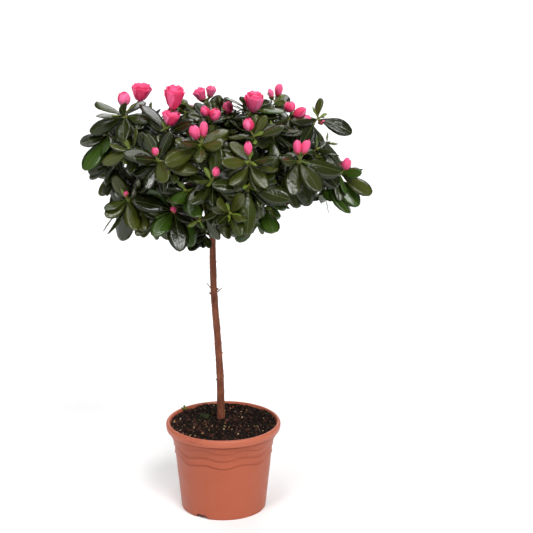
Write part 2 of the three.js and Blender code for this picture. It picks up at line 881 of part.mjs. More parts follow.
// Tries a leaf at its own angle, then raised towards the shoot's axis, then shorter; null when it never fits.
function placeLeaf(mass, shoot, at, azimuth, tilt, sag, length, roll) {
  const { axis } = shoot;
  const first = across(axis);
  const second = axis.clone().cross(first);
  const radial = first.multiplyScalar(Math.cos(azimuth)).addScaledVector(second, Math.sin(azimuth));
  for (const [raise, shrink] of LEAF_TRIES) {
    const angle = radians(tilt - raise);
    const direction = axis.clone().multiplyScalar(Math.cos(angle)).addScaledVector(radial, Math.sin(angle));
    direction.addScaledVector(UP, -sag * (1 - raise / 50)).normalize();
    const face = axis.clone().addScaledVector(UP, 0.35).applyAxisAngle(direction, roll);
    const leaf = leafAt(at, direction, face, length * shrink);
    const points = leaf.rows.flat();
    if (points.every(inOutline) && !hidesBloom(points) && isFree(leaf, mass, shoot, TWIG_OVERLAP)) {
      return leaf;
    }
  }
  return null;
}

function growRosette(mass, shoot, number) {
  const random = seeded(number * 31 + 5);
  const spin = TURN * 0.75 + (random() - 0.5) * SPIN_SPREAD; // the first leaf hangs down
  let { placed } = shoot;
  for (let i = 0; i < ROSETTE.tries && placed < ROSETTE.leaves; i += 1) {
    const outer = i < ROSETTE.outer;
    const tilt = outer ? 78 + 22 * random() : 42 + 16 * random() + INNER_TILT * Math.max(0, shoot.axis.z);
    const sag = outer ? 0.35 + 0.45 * random() : 0.05;
    const length = LEAF_LENGTH * (shoot.size ?? 1) * (outer ? 0.85 + 0.3 * random() : 0.6 + 0.2 * random());
    const at = belowTip(shoot, ROSETTE.depth * (1 - i / ROSETTE.tries) + 0.6);
    const leaf = placeLeaf(mass, shoot, at, spin + i * GOLDEN_ANGLE, tilt, sag, length, random() - 0.5);
    if (leaf) {
      mass.leaves.push(leaf);
      placed += 1;
    }
  }
  placed = 0;
  for (let i = 0; i < TWIG_LEAVES.length && placed < MOST_TWIG_LEAVES; i += 1) {
    const at = onBar(shoot.twig, TWIG_STEPS, TWIG_LEAVES[i]);
    const length = LEAF_LENGTH * (shoot.size ?? 1) * (0.8 + 0.25 * random());
    const azimuth = spin + (i + 20) * GOLDEN_ANGLE;
    const leaf = placeLeaf(mass, shoot, at, azimuth, 72 + 16 * random(), 0.3, length, random() - 0.5);
    if (leaf) {
      mass.leaves.push(leaf);
      placed += 1;
    }
  }
}

// A bud or half-open bloom: a six-sided body whose lower end runs down into the tip of its twig
function bloomSolid(shoot, [sideways, up, width, length, kind]) {
  const middle = shoot.tip.clone().add(v(sideways, 0, up));
  const axis = headed(shoot.tip, middle).addScaledVector(UP, 0.8).addScaledVector(shoot.axis, 0.4);
  axis.normalize();
  const first = across(axis);
  const second = axis.clone().cross(first);
  const widths = BLOOM_WIDTHS[kind];
  return toSolid(moveVertices(new THREE.SphereGeometry(0.5, BLOOM_SIDES, 3), (at) => {
    if (at.y < -0.45) {
      return along(shoot.tip, shoot.axis, -2);
    }
    const swell = widths[at.y > 0 ? 1 : 0] * width / Math.sin(Math.PI / 3);
    const point = along(middle, axis, at.y * length);
    return point.addScaledVector(first, at.x * swell).addScaledVector(second, -at.z * swell);
  }));
}

const twigRadius = (share) => THREE.MathUtils.lerp(...TWIG_RADII, share);

masses.forEach((mass, massNumber) => {
  const stemCurve = new THREE.LineCurve3(mass.stemFrom, mass.stemTo);
  const solids = [toSolid(bar(stemCurve, (share) => THREE.MathUtils.lerp(...STEM_RADII, share), 5, 1))];
  for (const shoot of mass.shoots) {
    shoot.placed = 0;
    placeSeenLeaves(mass, shoot);
  }
  mass.shoots.forEach((shoot, shootNumber) => {
    solids.push(toSolid(bar(shoot.twig, twigRadius, 3, TWIG_STEPS)));
    growRosette(mass, shoot, massNumber * 20 + shootNumber);
    for (const bloom of shoot.blooms) {
      solids.push(bloomSolid(shoot, bloom));
    }
  });
  for (const { frame, length } of mass.leaves) {
    solids.push(leafSolid(frame, length));
  }
  addNode(`leaves_${mass.name}`, toGeometry(fuse(solids)), 'foliage', FRESH_GREEN, 0.55);
});

export default object;
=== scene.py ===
"""Looks of a potted standard azalea: pot, soil, trunk, boughs, twigs, leaves, buds and blossom.

The crown grows by the same seeded rule as the part's own solids, with real-size leaves and finer twigs.
Lengths are millimetres in the same frame as the part. Meshes are scaled to metres when they are made.
"""

import json
import math

import bpy
import numpy as np
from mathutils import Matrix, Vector, noise

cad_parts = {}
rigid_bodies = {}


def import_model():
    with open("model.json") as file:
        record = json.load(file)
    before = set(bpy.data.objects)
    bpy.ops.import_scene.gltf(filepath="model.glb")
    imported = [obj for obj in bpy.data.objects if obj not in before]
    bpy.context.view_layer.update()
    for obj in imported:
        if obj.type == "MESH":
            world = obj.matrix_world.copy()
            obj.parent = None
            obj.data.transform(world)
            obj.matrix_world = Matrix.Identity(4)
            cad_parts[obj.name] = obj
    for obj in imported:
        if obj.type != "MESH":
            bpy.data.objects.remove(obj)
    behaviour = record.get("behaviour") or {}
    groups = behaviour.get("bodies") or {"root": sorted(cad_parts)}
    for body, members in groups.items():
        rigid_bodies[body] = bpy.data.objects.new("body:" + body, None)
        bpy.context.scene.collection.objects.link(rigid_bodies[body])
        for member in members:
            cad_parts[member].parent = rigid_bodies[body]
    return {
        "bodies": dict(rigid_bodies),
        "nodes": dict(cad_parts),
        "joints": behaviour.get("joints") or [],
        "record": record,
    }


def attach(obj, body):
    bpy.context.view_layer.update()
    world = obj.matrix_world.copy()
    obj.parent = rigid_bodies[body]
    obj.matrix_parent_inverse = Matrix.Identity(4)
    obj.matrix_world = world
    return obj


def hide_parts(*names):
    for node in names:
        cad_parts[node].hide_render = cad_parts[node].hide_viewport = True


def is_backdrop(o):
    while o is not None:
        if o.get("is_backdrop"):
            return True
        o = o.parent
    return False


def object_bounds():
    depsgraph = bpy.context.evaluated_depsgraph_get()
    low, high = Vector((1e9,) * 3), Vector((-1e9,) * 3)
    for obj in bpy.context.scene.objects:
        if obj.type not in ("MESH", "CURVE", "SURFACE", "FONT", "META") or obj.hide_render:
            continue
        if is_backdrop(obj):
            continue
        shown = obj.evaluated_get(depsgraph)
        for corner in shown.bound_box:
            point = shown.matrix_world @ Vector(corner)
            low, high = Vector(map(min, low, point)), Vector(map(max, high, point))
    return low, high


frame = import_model()
cad_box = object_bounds()

GAP = 0.3
TURN = math.tau
GOLDEN_ANGLE = TURN * 0.381966
UP = np.array([0.0, 0.0, 1.0])

# Pot
POT_HEIGHT = 118
RIM_RADIUS = 75
RIM_FOOT = 108
WALL_TOP_RADIUS = 66.4
WALL_FLARE = {"height": 20, "reach": 3.6}  # under the rim
FOOT_RADIUS = 55.4
WALL = 1.8
FLOOR_UNDERSIDE = 5
FLOOR_TOP = 7.4
HUB_RADIUS = 12
NOTCH = {"count": 3, "azimuth": -122, "top": 13, "foot": 20, "height": 4.6}
WAVE_LINES = [RIM_FOOT - 10.7, RIM_FOOT - 21.6, RIM_FOOT - 32.3]  # heights of the troughs of the wavy ridges
WAVES_ROUND = 8
WAVE_RISE = 4
WAVE_LIP = 1.05  # how far the wall stands out right above a line
GROOVE = {"depth": 0.65, "height": 1.8}  # under the lip
FAINT_RINGS = (38, 28)
FOOT_PROFILE = ((-4.7, 2.5), (-4.4, 0.4), (-4.0, 0), (-1.2, 0), (-0.3, 0.5))  # (out from the foot's radius, height)
RIM_PROFILE = (  # (in from the rim's radius, down from its top)
    (4.6, 10.2), (1.8, 10.1), (0.9, 9.5), (0.5, 8.4), (0.1, 5), (0, 3.4), (0.4, 1.9), (1.3, 0.7), (2.6, 0.1), (3.4, 0),
    (4.4, 0.5), (5.2, 2), (6, 6),
)
RIM_ROWS = 11  # rows of the outline in the rim's lighter colour: painted light, as the rim faces up to the lamps

# Soil
SOIL_EDGE_HEIGHT = 115
SOIL_SEAT_HEIGHT = 116.5
SOIL_SEAT_RADIUS = 25
CRUMBS = (  # count, sizes, stretch, slot
    (1900, (0.6, 2.0), (0.5, 1.5), 0),
    (420, (0.7, 1.9), (0.3, 2.2), 1),
    (60, (0.45, 0.95), (0.25, 2.4), 2),
    (80, (0.5, 1.1), (0.3, 2.4), 3),
    (7, (0.8, 1.4), (0.5, 1.6), 4),
    (50, (0.5, 1.2), (0.3, 2.4), 5),
)
CRUMB_TILT = 0.6
CRUMBS_REACH = 67
TRUNK_CLEARING = 4.8
MOSS = {"bits": 110, "at": (-24, 20), "spread": (3.6, 3.2), "sizes": (0.8, 1.8)}
RIM_DUST = {"bits": 170, "crumbs": 10, "azimuth": -122, "spread": 6, "heights": (111, 117.4)}
HEAP = {"bits": 70, "radii": (4.4, 7.6), "rise": 0.9, "sizes": (0.7, 1.7)}  # against the foot of the trunk

# Trunk
TRUNK_X, TRUNK_Y = -3, 14
TRUNK_LINE = [(x, TRUNK_Y, z) for x, z in (
    (TRUNK_X, SOIL_SEAT_HEIGHT + GAP), (-3.3, 135), (-3.6, 170), (-6.4, 222), (-11, 290), (-12.2, 345), (-12, 384),
    (-11, 410),
)]
TRUNK_RADII = [(0, 6.4), (0.035, 5.2), (0.09, 4.8), (0.3, 4.5), (0.7, 4.1), (0.88, 3.9), (1, 3.4)]
TRUNK_BURIED = 4
TRUNK_NUBS = (  # height, azimuth, size
    (292, 0.2, 2.0), (287, 3.3, 2.2), (276, -1.3, 1.6), (241, 2.6, 1.5), (205, 0.1, 1.4), (168, 3.0, 1.6),
    (330, -0.6, 1.7), (352, 2.9, 1.8), (150, -1.2, 1.3), (312, -2.0, 1.4),
)
TRUNK_STUBS = ((288, (0.95, -0.1, 0.5), 12), (291, (-0.75, -0.35, 0.85), 15))  # height, way, length

# Crown
CROWN = {
    "x": 2, "y": 8, "z": 452, "reach_x": 150, "reach_y": 136,
    "rise": 79, "fall": 66, "back_fall": 0.26, "right_fall": 0.08,
}
CROWN_LOWEST_POLAR = 142
LOWEST_SHOOT = 411
RIGHT_RISE = {"from": -20, "slope": 0.3, "step": 46, "lift": 20}
VIEW_SLOPE = 0.22
TO_VIEWER = np.array([0, -1, VIEW_SLOPE]) / math.hypot(1, VIEW_SLOPE)
LIGHT_PULL = np.array([0, -0.35, 0.3])
DOME_SHOOTS = 240
SHOOT_SPACING = 38.5
REAR_BLOOM = {"chance": 0.7, "from": 58}  # shoots of the rule bloom only behind this depth

# The crown's upper and lower edge as seen from the front: (across, seen height)
SEEN_TOP = (
    (-178, 498), (-161, 526), (-146, 542), (-9, 553), (51, 551), (87, 547), (102, 531), (120, 515), (136, 480),
    (190, 446),
)
SEEN_BOTTOM = (
    (-180, 454), (-153, 443), (-148, 380), (-69, 366), (-21, 352), (-12, 370), (67, 376), (78, 401), (116, 414),
    (165, 400), (190, 419),
)

# Shoots seen in the photograph, each with its tip, its blooms and its leaves. Blooms are (across, up, width, length,
# kind) from the tip. Leaves are (share of the twig where the leaf is rooted, its tip across, back and up from the
# shoot's tip), and where it matters the degrees that its face is turned from the viewer.
SEEN_SHOOTS = [
    ((-121, -20, 532), [(1, 20, 17, 17, "bud"), (22, 28, 24, 22, "open")], [
        (1, -1, -19, 18), (1, -36, 25, 10, 78), (1, -34, -12, 3, 65), (1, 39, -21, -3), (1, 43, 19, -4, 70),
        (1, 0, -42, -26, 15), (1, -42, -3, -20, 35), (1, 40, -29, -33, 30), (1, 24, 32, 11, 65),
    ]),
    ((-142, -12, 505), [], [(1, -27, -27, -40, 35), (1, -32, -17, -8, 40), (1, -6, -38, -22)]),
    ((-139, -14, 470), [], [(1, -29, 18, -22, 35), (1, -1, -38, -11)]),
    ((-44, -104, 456), [], [(1, 14, -31, -24, 25), (1, -15, -27, -13, 25)]),
    ((-90, -66, 414), [], []),
    ((50, -88, 430), [], [(1, 13, -32, -24, 20), (0.8, -33, 7, -44, 45), (1, 22, 20, -15)]),
    ((-78, -95, 492), [(-2, 11, 9, 11, "bud")], [
        (1, -26, -18, 5, 40), (1, 12, -37, -20), (1, 16, 8, 33, 15), (1, 48, -19, -5), (1, -40, 18, 7),
    ]),
    ((-118, -60, 434), [(0, 7, 7, 7, "tiny")], [
        (1, 22, 35, 16, 20), (1, -8, 30, 18), (1, -26, -14, -8), (1, -20, -24, -15, 30), (0.9, -28, -18, -34, 78),
        (0.85, -22, -10, -43, 80), (1, 13, -32, -30, 15), (0.85, -11, 12, -57, 15), (1, 29, -20, 1),
    ]),
    ((-58, -90, 426), [(-1, 3, 8, 9, "tiny")], [
        (1, 8, -33, -38, 10), (1, 30, -28, -7, 50), (1, -27, -26, -22, 20), (0.85, 22, 6, -45, 20),
    ]),
    ((-69, -65, 524), [(12, 39, 23, 30, "open"), (8, 13, 21, 19, "open")], [
        (1, -19, -37, -4, 30), (1, -27, 33, 25, 60), (1, -20, 29, 8, 40),
    ]),
    ((-20, 30, 539), [(-6, 7, 15, 18, "open"), (7, 11, 12, 14, "open")], []),
    ((-14, -45, 532), [(-6, 9, 12, 12, "bud"), (6, 5, 15, 15, "bud")], []),
    ((-24, -95, 512), [(-8, 14, 14, 18, "candle"), (3, 18, 11, 21, "candle")], [
        (1, -24, -22, 4), (1, 22, -26, 5), (1, -2, -35, -13), (1, 30, 33, 12),
    ]),
    ((8, 0, 530), [(0, 6, 14, 15, "bud")], []),
    ((41, -20, 539), [(0, 8, 23, 26, "open")], [(1, 36, -18, 2, 60)]),
    ((39, -80, 518), [(-6, 14, 14, 15, "bud")], [(1, 37, -12, 14), (1, -31, 29, -5), (1, 5, -33, -13)]),
    ((34, -115, 495), [(-2, 16, 11, 17, "candle")], [
        (1, -21, 33, 17), (1, 28, 29, 16), (1, -34, -19, 1), (1, 34, -16, 11), (1, -5, -32, -13),
    ]),
    ((-13, -120, 472), [(6, 11, 10, 11, "bud")], [
        (1, -33, 33, 3), (1, -25, -30, -19), (1, 9, -30, -16), (1, 33, 25, 7), (1, -9, 30, 31, 25), (1, 9, 24, 35, 20),
    ]),
    ((33, -118, 466), [], [
        (0.9, -1, -14, -58), (1, 47, -4, -19, 20), (1, -44, -11, 4), (1, 31, 28, 14), (0.9, -40, -10, -46),
    ]),
    ((70, 40, 535), [(-7, 10, 8, 14, "candle"), (3, 15, 11, 17, "candle")], [(1, 16, 31, 0, 45), (1, 9, -27, 3, 45)]),
    ((88, -15, 533), [(-3, 7, 15, 13, "bud"), (9, -1, 13, 19, "bud"), (19, -9, 11, 10, "bud")], []),
    ((122, -10, 525), [(4, -6, 6, 8, "bud")], [
        (1, 2, 24, 19, 55), (1, 41, -4, -17, 25), (0.8, 28, -17, -61, 58), (1, -35, -25, 3), (1, -27, 20, -28),
    ]),
    ((95, -85, 488), [(-3, 17, 11, 19, "candle"), (7, 17, 11, 19, "candle")], [
        (1, 24, -32, -28, 20), (1, -12, -28, -36), (1, 51, 15, -17, 25), (1, -22, -27, 5), (0.85, 9, -4, -56, 20),
        (0.8, -5, -4, -59, 30),
    ]),
    ((153, -10, 455), [(4, 10, 12, 15, "bud")], [
        (0.65, -20, -13, -51, 75), (0.7, -14, -10, -38, 20), (0.75, 7, -15, -53, 52), (0.85, 20, -11, -40, 20),
        (0.95, 34, -8, -29, 50), (1, 21, -22, 3, 25), (1, 23, 25, 0, 75),
    ]),
]
TRUNK_SHOOT = {
    "at": (-26, -10, 377), "height": 366, "size": 0.62,
    "leaves": [(1, -14, -20, -19, 35), (1, 10, -12, -16, 35), (1, 21, -4, 3, 50)],
}

RINGS = [  # level, ways, first azimuth, polar angle, heights of the forks
    ("low", ("right", "back_right", "back_left", "front_left", "front_right"), 0, 105, (376, 384, 379, 387, 380)),
    ("high", ("back_right", "back_left", "front_left", "front_right"), 45, 60, (396, 402, 394, 404)),
    ("top", ("middle",), 90, 3, (410,)),
]
BOUGH_SHARE = 0.46
BOUGH_BASE_RADIUS = 2.4
BOUGH_TIP_RADIUS = 1.8
LEADER_BASE_RADIUS = 3
STEM_LENGTH = 24
TWIG_STEPS = 3

# Leaves. The rule's own leaf comes first, then the finer one that is drawn.
RULE_LEAF = {
    "length": 54, "width": 0.48, "clearance": 1.5,
    "halves": ((0, 0), (0.56, 0.5), (0.96, 0.22), (1.1, 0)),
}
DRAWN_SHARE = 0.94  # of the rule's leaf length
DRAWN_LEAF = {
    "length": 45, "width": 0.46, "clearance": 0.7,
    "halves": ((0, 0.04), (0.1, 0.05), (0.2, 0.2), (0.34, 0.38), (0.5, 0.48), (0.64, 0.5), (0.78, 0.42), (0.9, 0.25),
               (0.97, 0.1), (1, 0.02)),
}
LEAF_DROOP = 0.16
LEAF_CUP = 0.12
SPACE_MARGIN = 0.9
LIMB_MARGIN = 1.2
TWIG_OVERLAP = 34
SPIN_SPREAD = 1.2
LEAF_TRIES = ((0, 1), (14, 1), (28, 1), (0, 0.8), (14, 0.8), (28, 0.75))  # degrees up, share of the length
LEAF_TESTS = (0.22, 0.36, 0.5, 0.64, 0.78, 0.9, 1)
SEEN_DEPTH = 3
SEEN_TRIES = ((0, 1), (0.15, 1), (-0.15, 1), (0.3, 1), (-0.3, 1), (0, 0.85), (0.2, 0.85), (-0.2, 0.85))
ROSETTE = {"outer": 8, "tries": 12, "leaves": 6, "depth": 11}
INNER_TILT = 22
TWIG_LEAVES = (0.6, 0.72, 0.5)
FINE_ROSETTE = {"tries": 26, "leaves": 6, "depth": 13}
SIDE_TWIGS = {"shares": (0.74, 0.58, 0.42, 0.26), "length": (15, 24), "leaf": (26, 38), "tries": 14, "leaves": 5}
OLD_LEAVES = {"shares": (0.88, 0.78, 0.68, 0.56, 0.44, 0.32, 0.2, 0.1, 0.82, 0.62, 0.5, 0.26, 0.06), "leaves": 6}
FILLERS = {  # leaves across places inside the crown's surface that are bare, away from the viewer
    "places": 1600, "depths": (0.96, 0.88, 0.8, 0.7), "from": -40, "gap": 9, "reach": (12, 36), "past": 12,
    "roots": (0.25, 0.4, 0.55, 0.7, 0.85, 1), "tries": 16,
}
HEART_LEAVES = 3
CALYX_SCALES = 5
CORE, ROUND_BUD, CANDLE, HALF_OPEN = (  # (share of the length, share of the width)
    ((0, 0.5), (0.15, 0.8), (0.45, 1), (0.75, 0.9), (0.92, 0.5), (1, 0.05)),
    ((0, 0.42), (0.12, 0.74), (0.35, 0.97), (0.62, 1), (0.85, 0.86), (1, 0.62)),
    ((0, 0.42), (0.12, 0.66), (0.35, 0.92), (0.6, 1), (0.8, 0.86), (0.93, 0.6), (1, 0.34)),
    ((0, 0.3), (0.12, 0.55), (0.35, 0.82), (0.65, 0.97), (0.85, 1), (1, 0.98)),
)
BLOOMS = {  # outline, the core's share of the width, twist, and rings of petals from the core outward:
    # (petals, share of the width, share of the length, flare, ruffle)
    "candle": (CANDLE, 0.84, 0.8, [(3, 0.94, 1, 0, 0.1)]),
    "tiny": (CANDLE, 0.84, 0.6, [(3, 0.94, 1, 0, 0)]),
    "bud": (ROUND_BUD, 0.66, 0.45, [(3, 0.74, 1, 0, 0.3), (5, 0.95, 0.93, 0, 0.4)]),
    "open": (HALF_OPEN, 0.42, 0.3, [
        (3, 0.46, 0.98, 0, 0.4), (4, 0.64, 1, 0.02, 0.6), (5, 0.8, 0.95, 0.04, 0.8), (5, 0.9, 0.84, 0.1, 0.9),
    ]),
}

# Stage
WORLD_LIGHT = 0.15
BACKDROP_LIGHT = 1
SUNS = (  # name, the way to it, strength, degrees across
    ("key", (0.45, -0.8, 0.9), 2.6, 30),
    ("top", (-0.2, 0.2, 1.0), 1.1, 36),
    ("glint", (-0.15, -0.45, 1.0), 1.0, 14),
    ("back", (0.15, 1.0, 0.6), 0.9, 40),
    ("fill", (-0.9, -0.7, 0.5), 0.6, 60),
)
# Stage and camera are in metres
FLOOR_REACH = 8
BACKDROP = {"sides": 96, "radius": 7.9, "from": -0.1, "to": 6}
CAMERA = {"at": (0, -2.4, 1.0474), "down": 16.68, "turn": -1.35, "sensor": 36, "clip_end": 50}
PHOTO_PIXELS = 533
FOCAL_PIXELS = 1957.5


def unit(vector):
    return vector / np.linalg.norm(vector)


def vec(*values):
    return np.array(values, dtype=float)


def mix(a, b, share):
    return a + (b - a) * share


def limited(value):
    """The value kept from 0 to 1."""
    return min(1, max(0, value))


def across(direction):
    other = UP if abs(direction[2]) < 0.9 else vec(1, 0, 0)
    return unit(np.cross(other, direction))


def spokes(axis):
    """The directions at right angles to an axis, by their azimuth."""
    first = across(axis)
    second = np.cross(axis, first)
    return lambda azimuth: first * math.cos(azimuth) + second * math.sin(azimuth)


def leaning(axis, radial, degrees):
    angle = math.radians(degrees)
    return axis * math.cos(angle) + radial * math.sin(angle)


def turned(vector, axis, angle):
    return (
        vector * math.cos(angle)
        + np.cross(axis, vector) * math.sin(angle)
        + axis * np.dot(axis, vector) * (1 - math.cos(angle))
    )


def circle(sides):
    return [(math.cos(i * TURN / sides), math.sin(i * TURN / sides)) for i in range(sides)]


class Seeded:
    """Seeded numbers from 0 to 1, the same as in the part's rule."""

    def __init__(self, seed):
        self.state = ((seed + 1) * 2654435761) & 0xFFFFFFFF
        self()
        self()

    def __call__(self):
        self.state = (self.state * 1664525 + 1013904223) & 0xFFFFFFFF
        return self.state / 4294967296

    def between(self, low, high):
        return low + (high - low) * self()

    def one_of(self, choice):
        return choice[int(self() * len(choice))]


class Curve:
    """A curve that is read by its share of arc length."""

    def __init__(self, point_at, steps=200):
        self.point_at = point_at
        self.shares = np.linspace(0, 1, steps + 1)
        points = np.array([point_at(share) for share in self.shares])
        lengths = np.linalg.norm(np.diff(points, axis=0), axis=1)
        self.lengths = np.concatenate([[0], np.cumsum(lengths)])
        self.length = self.lengths[-1]

    def at(self, share):
        return self.point_at(float(np.interp(share * self.length, self.lengths, self.shares)))

    def tangent(self, share):
        return unit(self.at(min(1, share + 0.005)) - self.at(max(0, share - 0.005)))


def bezier(*corners):
    def point_at(share):
        points = list(corners)
        while len(points) > 1:
            points = [mix(a, b, share) for a, b in zip(points, points[1:])]
        return points[0]

    return Curve(point_at)


def spline(corners):
    """A centripetal Catmull-Rom curve through the corners."""
    corners = [np.array(corner, dtype=float) for corner in corners]
    ends = [2 * corners[0] - corners[1], *corners, 2 * corners[-1] - corners[-2]]

    def point_at(share):
        place = share * (len(corners) - 1)
        i = min(int(place), len(corners) - 2)
        t = place - i
        p0, p1, p2, p3 = ends[i:i + 4]
        d0, d1, d2 = (max(np.linalg.norm(b - a), 1e-6) ** 0.5 for a, b in ((p0, p1), (p1, p2), (p2, p3)))
        t1 = ((p1 - p0) / d0 - (p2 - p0) / (d0 + d1) + (p2 - p1) / d1) * d1
        t2 = ((p2 - p1) / d1 - (p3 - p1) / (d1 + d2) + (p3 - p2) / d2) * d1
        return p1 + t1 * t + (-3 * p1 + 3 * p2 - 2 * t1 - t2) * t * t + (2 * p1 - 2 * p2 + t1 + t2) * t ** 3

    return Curve(point_at)


def stops(pairs):
    """Values between marks of (place, value)."""
    return lambda place: float(np.interp(place, *zip(*pairs)))


def taper(start, end):
    return stops(((0, start), (1, end)))


# Meshes


def in_scene(name, data):
    made = bpy.data.objects.new(name, data)
    bpy.context.scene.collection.objects.link(made)
    return made


class Builder:
    """Collects points, faces and material numbers of one joined mesh."""

    def __init__(self):
        self.points, self.faces, self.slots = [], [], []
        self.count = 0

    def add(self, points, faces, slot):
        """slot is one number, or one for each face."""
        self.points.append(np.asarray(points, dtype=float))
        self.faces.extend([tuple(int(i) + self.count for i in face) for face in faces])
        self.slots.extend([slot] * len(faces) if isinstance(slot, int) else slot)
        self.count += len(points)

    def make(self, name, materials):
        mesh = bpy.data.meshes.new(name)
        mesh.from_pydata((np.concatenate(self.points) * 0.001).tolist(), [], self.faces)
        for made in materials:
            mesh.materials.append(made)
        mesh.polygons.foreach_set("material_index", np.array(self.slots, dtype=np.int32))
        mesh.polygons.foreach_set("use_smooth", np.full(len(self.faces), True))
        mesh.validate()
        mesh.update()
        return in_scene(name, mesh)


def grid_faces(rows, columns, closed=True, flip=False):
    """Quads of a grid of rows; closed joins the last column to the first."""
    faces = []
    for row in range(rows - 1):
        for column in range(columns if closed else columns - 1):
            a = row * columns + column
            b = row * columns + (column + 1) % columns
            quad = (a, b, b + columns, a + columns)
            faces.append(quad[::-1] if flip else quad)
    return faces


def tube(curve, radius_at, sides, steps, bump=None):
    """Points and faces of a closed round bar along a curve. bump(share, angle) adds to the radius."""
    side = across(curve.tangent(0.5))
    points = []
    for row in range(steps + 1):
        share = row / steps
        tangent = curve.tangent(share)
        first = unit(side - tangent * np.dot(side, tangent))
        second = np.cross(first, tangent)
        middle = curve.at(share)
        for column in range(sides):
            angle = column * TURN / sides
            radius = radius_at(share) + (bump(share, angle) if bump else 0)
            points.append(middle + first * math.cos(angle) * radius + second * math.sin(angle) * radius)
    faces = grid_faces(steps + 1, sides, flip=True)
    return points, [*faces, range(sides), [steps * sides + i for i in reversed(range(sides))]]


# Materials


def linear(*screen):
    """A linear colour from 0 to 255 screen values."""
    shares = [value / 255 for value in screen]
    return (*(share / 12.92 if share <= 0.04045 else ((share + 0.055) / 1.055) ** 2.4 for share in shares), 1)


class Nodes:
    """A material's shader with short helpers to add nodes."""

    def __init__(self, name, colour, roughness, specular):
        self.material = bpy.data.materials.new(name)
        self.material.use_nodes = True
        self.tree = self.material.node_tree
        self.shader = self.tree.nodes["Principled BSDF"]
        self.set("Base Color", colour)
        self.set("Roughness", roughness)
        self.set("Specular IOR Level", specular)

    def set(self, name, value):
        self.shader.inputs[name].default_value = value

    def node(self, kind, **values):
        made = self.tree.nodes.new(kind)
        for name, value in values.items():
            if name in made.inputs:
                made.inputs[name].default_value = value
            else:
                setattr(made, name, value)
        return made

    def link(self, source, target):
        """target is a socket, or the name of one of the shader's own."""
        self.tree.links.new(source, self.shader.inputs[target] if isinstance(target, str) else target)

    def object_place(self, scale=(1, 1, 1)):
        mapping = self.node("ShaderNodeMapping", Scale=scale)
        self.link(self.node("ShaderNodeTexCoord").outputs["Object"], mapping.inputs["Vector"])
        return mapping.outputs["Vector"]

    def noise(self, vector, scale, detail=4, roughness=0.6, distortion=0):
        made = self.node(
            "ShaderNodeTexNoise", Scale=scale, Detail=detail, Roughness=roughness, Distortion=distortion,
        )
        self.link(vector, made.inputs["Vector"])
        return made.outputs["Fac"]

    def ramp(self, value, *marks):
        """marks: (place, value) or (place, red, green, blue)"""
        made = self.node("ShaderNodeValToRGB")
        elements = made.color_ramp.elements
        while len(elements) < len(marks):
            elements.new(0.5)
        for element, (place, *colour) in zip(elements, marks):
            element.position = place
            element.color = linear(*colour) if len(colour) == 3 else (*colour * 3, 1)
        self.link(value, made.inputs["Fac"])
        return made.outputs["Color"]

    def mixed(self, share, first, second):
        made = self.node("ShaderNodeMix", data_type="RGBA")
        for source, socket in ((share, made.inputs[0]), (first, made.inputs[6]), (second, made.inputs[7])):
            if isinstance(source, (tuple, float)):
                socket.default_value = source
            else:
                self.link(source, socket)
        return made.outputs[2]

    def bump(self, height, strength, distance):
        made = self.node("ShaderNodeBump", Strength=strength, Distance=distance)
        self.link(height, made.inputs["Height"])
        self.link(made.outputs["Normal"], "Normal")


def leaf_material(name, colour, roughness, specular):
    nodes = Nodes(name, linear(*colour), roughness, specular)
    nodes.bump(nodes.noise(nodes.object_place(), 230, 2), 0.5, 0.001)
    return nodes.material


def pot_material(name, dark, light):
    nodes = Nodes(name, linear(*dark), 0.42, 0.28)
    place = nodes.object_place()
    base = nodes.ramp(nodes.noise(place, 9, 5, 0.6), (0.3, *dark), (0.7, *light))
    # Dust and soil marks, in patches
    marks = nodes.node("ShaderNodeMath", operation="MULTIPLY")
    nodes.link(nodes.ramp(nodes.noise(place, 160, 6, 0.75), (0.56, 0.0), (0.66, 1.0)), marks.inputs[0])
    nodes.link(nodes.ramp(nodes.noise(place, 14, 3, 0.5), (0.54, 0.0), (0.7, 0.5)), marks.inputs[1])
    nodes.link(nodes.mixed(marks.outputs[0], base, linear(120, 58, 44)), "Base Color")
    nodes.link(nodes.ramp(nodes.noise(place, 60, 4), (0.3, 0.36), (0.7, 0.52)), "Roughness")
    nodes.bump(nodes.noise(place, 900, 2), 0.12, 0.0004)
    return nodes.material


def bark_material():
    nodes = Nodes("bark", linear(120, 72, 48), 0.75, 0.35)
    strands = nodes.noise(nodes.object_place((1, 1, 0.22)), 420, 6, 0.7, 0.6)
    patches = nodes.noise(nodes.object_place((1, 1, 0.5)), 90, 4, 0.6)
    base = nodes.ramp(strands, (0.3, 48, 22, 14), (0.5, 114, 58, 36), (0.72, 168, 104, 70))
    tint = nodes.ramp(patches, (0.35, 86, 40, 25), (0.6, 126, 72, 48), (0.8, 134, 94, 70))
    nodes.link(nodes.mixed(0.45, base, tint), "Base Color")
    nodes.bump(strands, 0.8, 0.0009)
    return nodes.material


def soil_material():
    nodes = Nodes("peat", linear(26, 17, 13), 0.95, 0.15)
    grain = nodes.noise(nodes.object_place(), 260, 7, 0.75)
    nodes.link(nodes.ramp(grain, (0.3, 8, 5, 4), (0.55, 26, 17, 12), (0.78, 58, 38, 28)), "Base Color")
    nodes.bump(grain, 0.9, 0.002)
    return nodes.material


def petal_material(name, colour):
    nodes = Nodes(name, linear(*colour), 0.5, 0.3)
    nodes.set("Subsurface Weight", 0.15)
    nodes.set("Subsurface Radius", (0.004, 0.0015, 0.002))
    nodes.set("Subsurface Scale", 1.0)
    nodes.bump(nodes.noise(nodes.object_place(), 700, 3), 0.2, 0.0004)
    return nodes.material


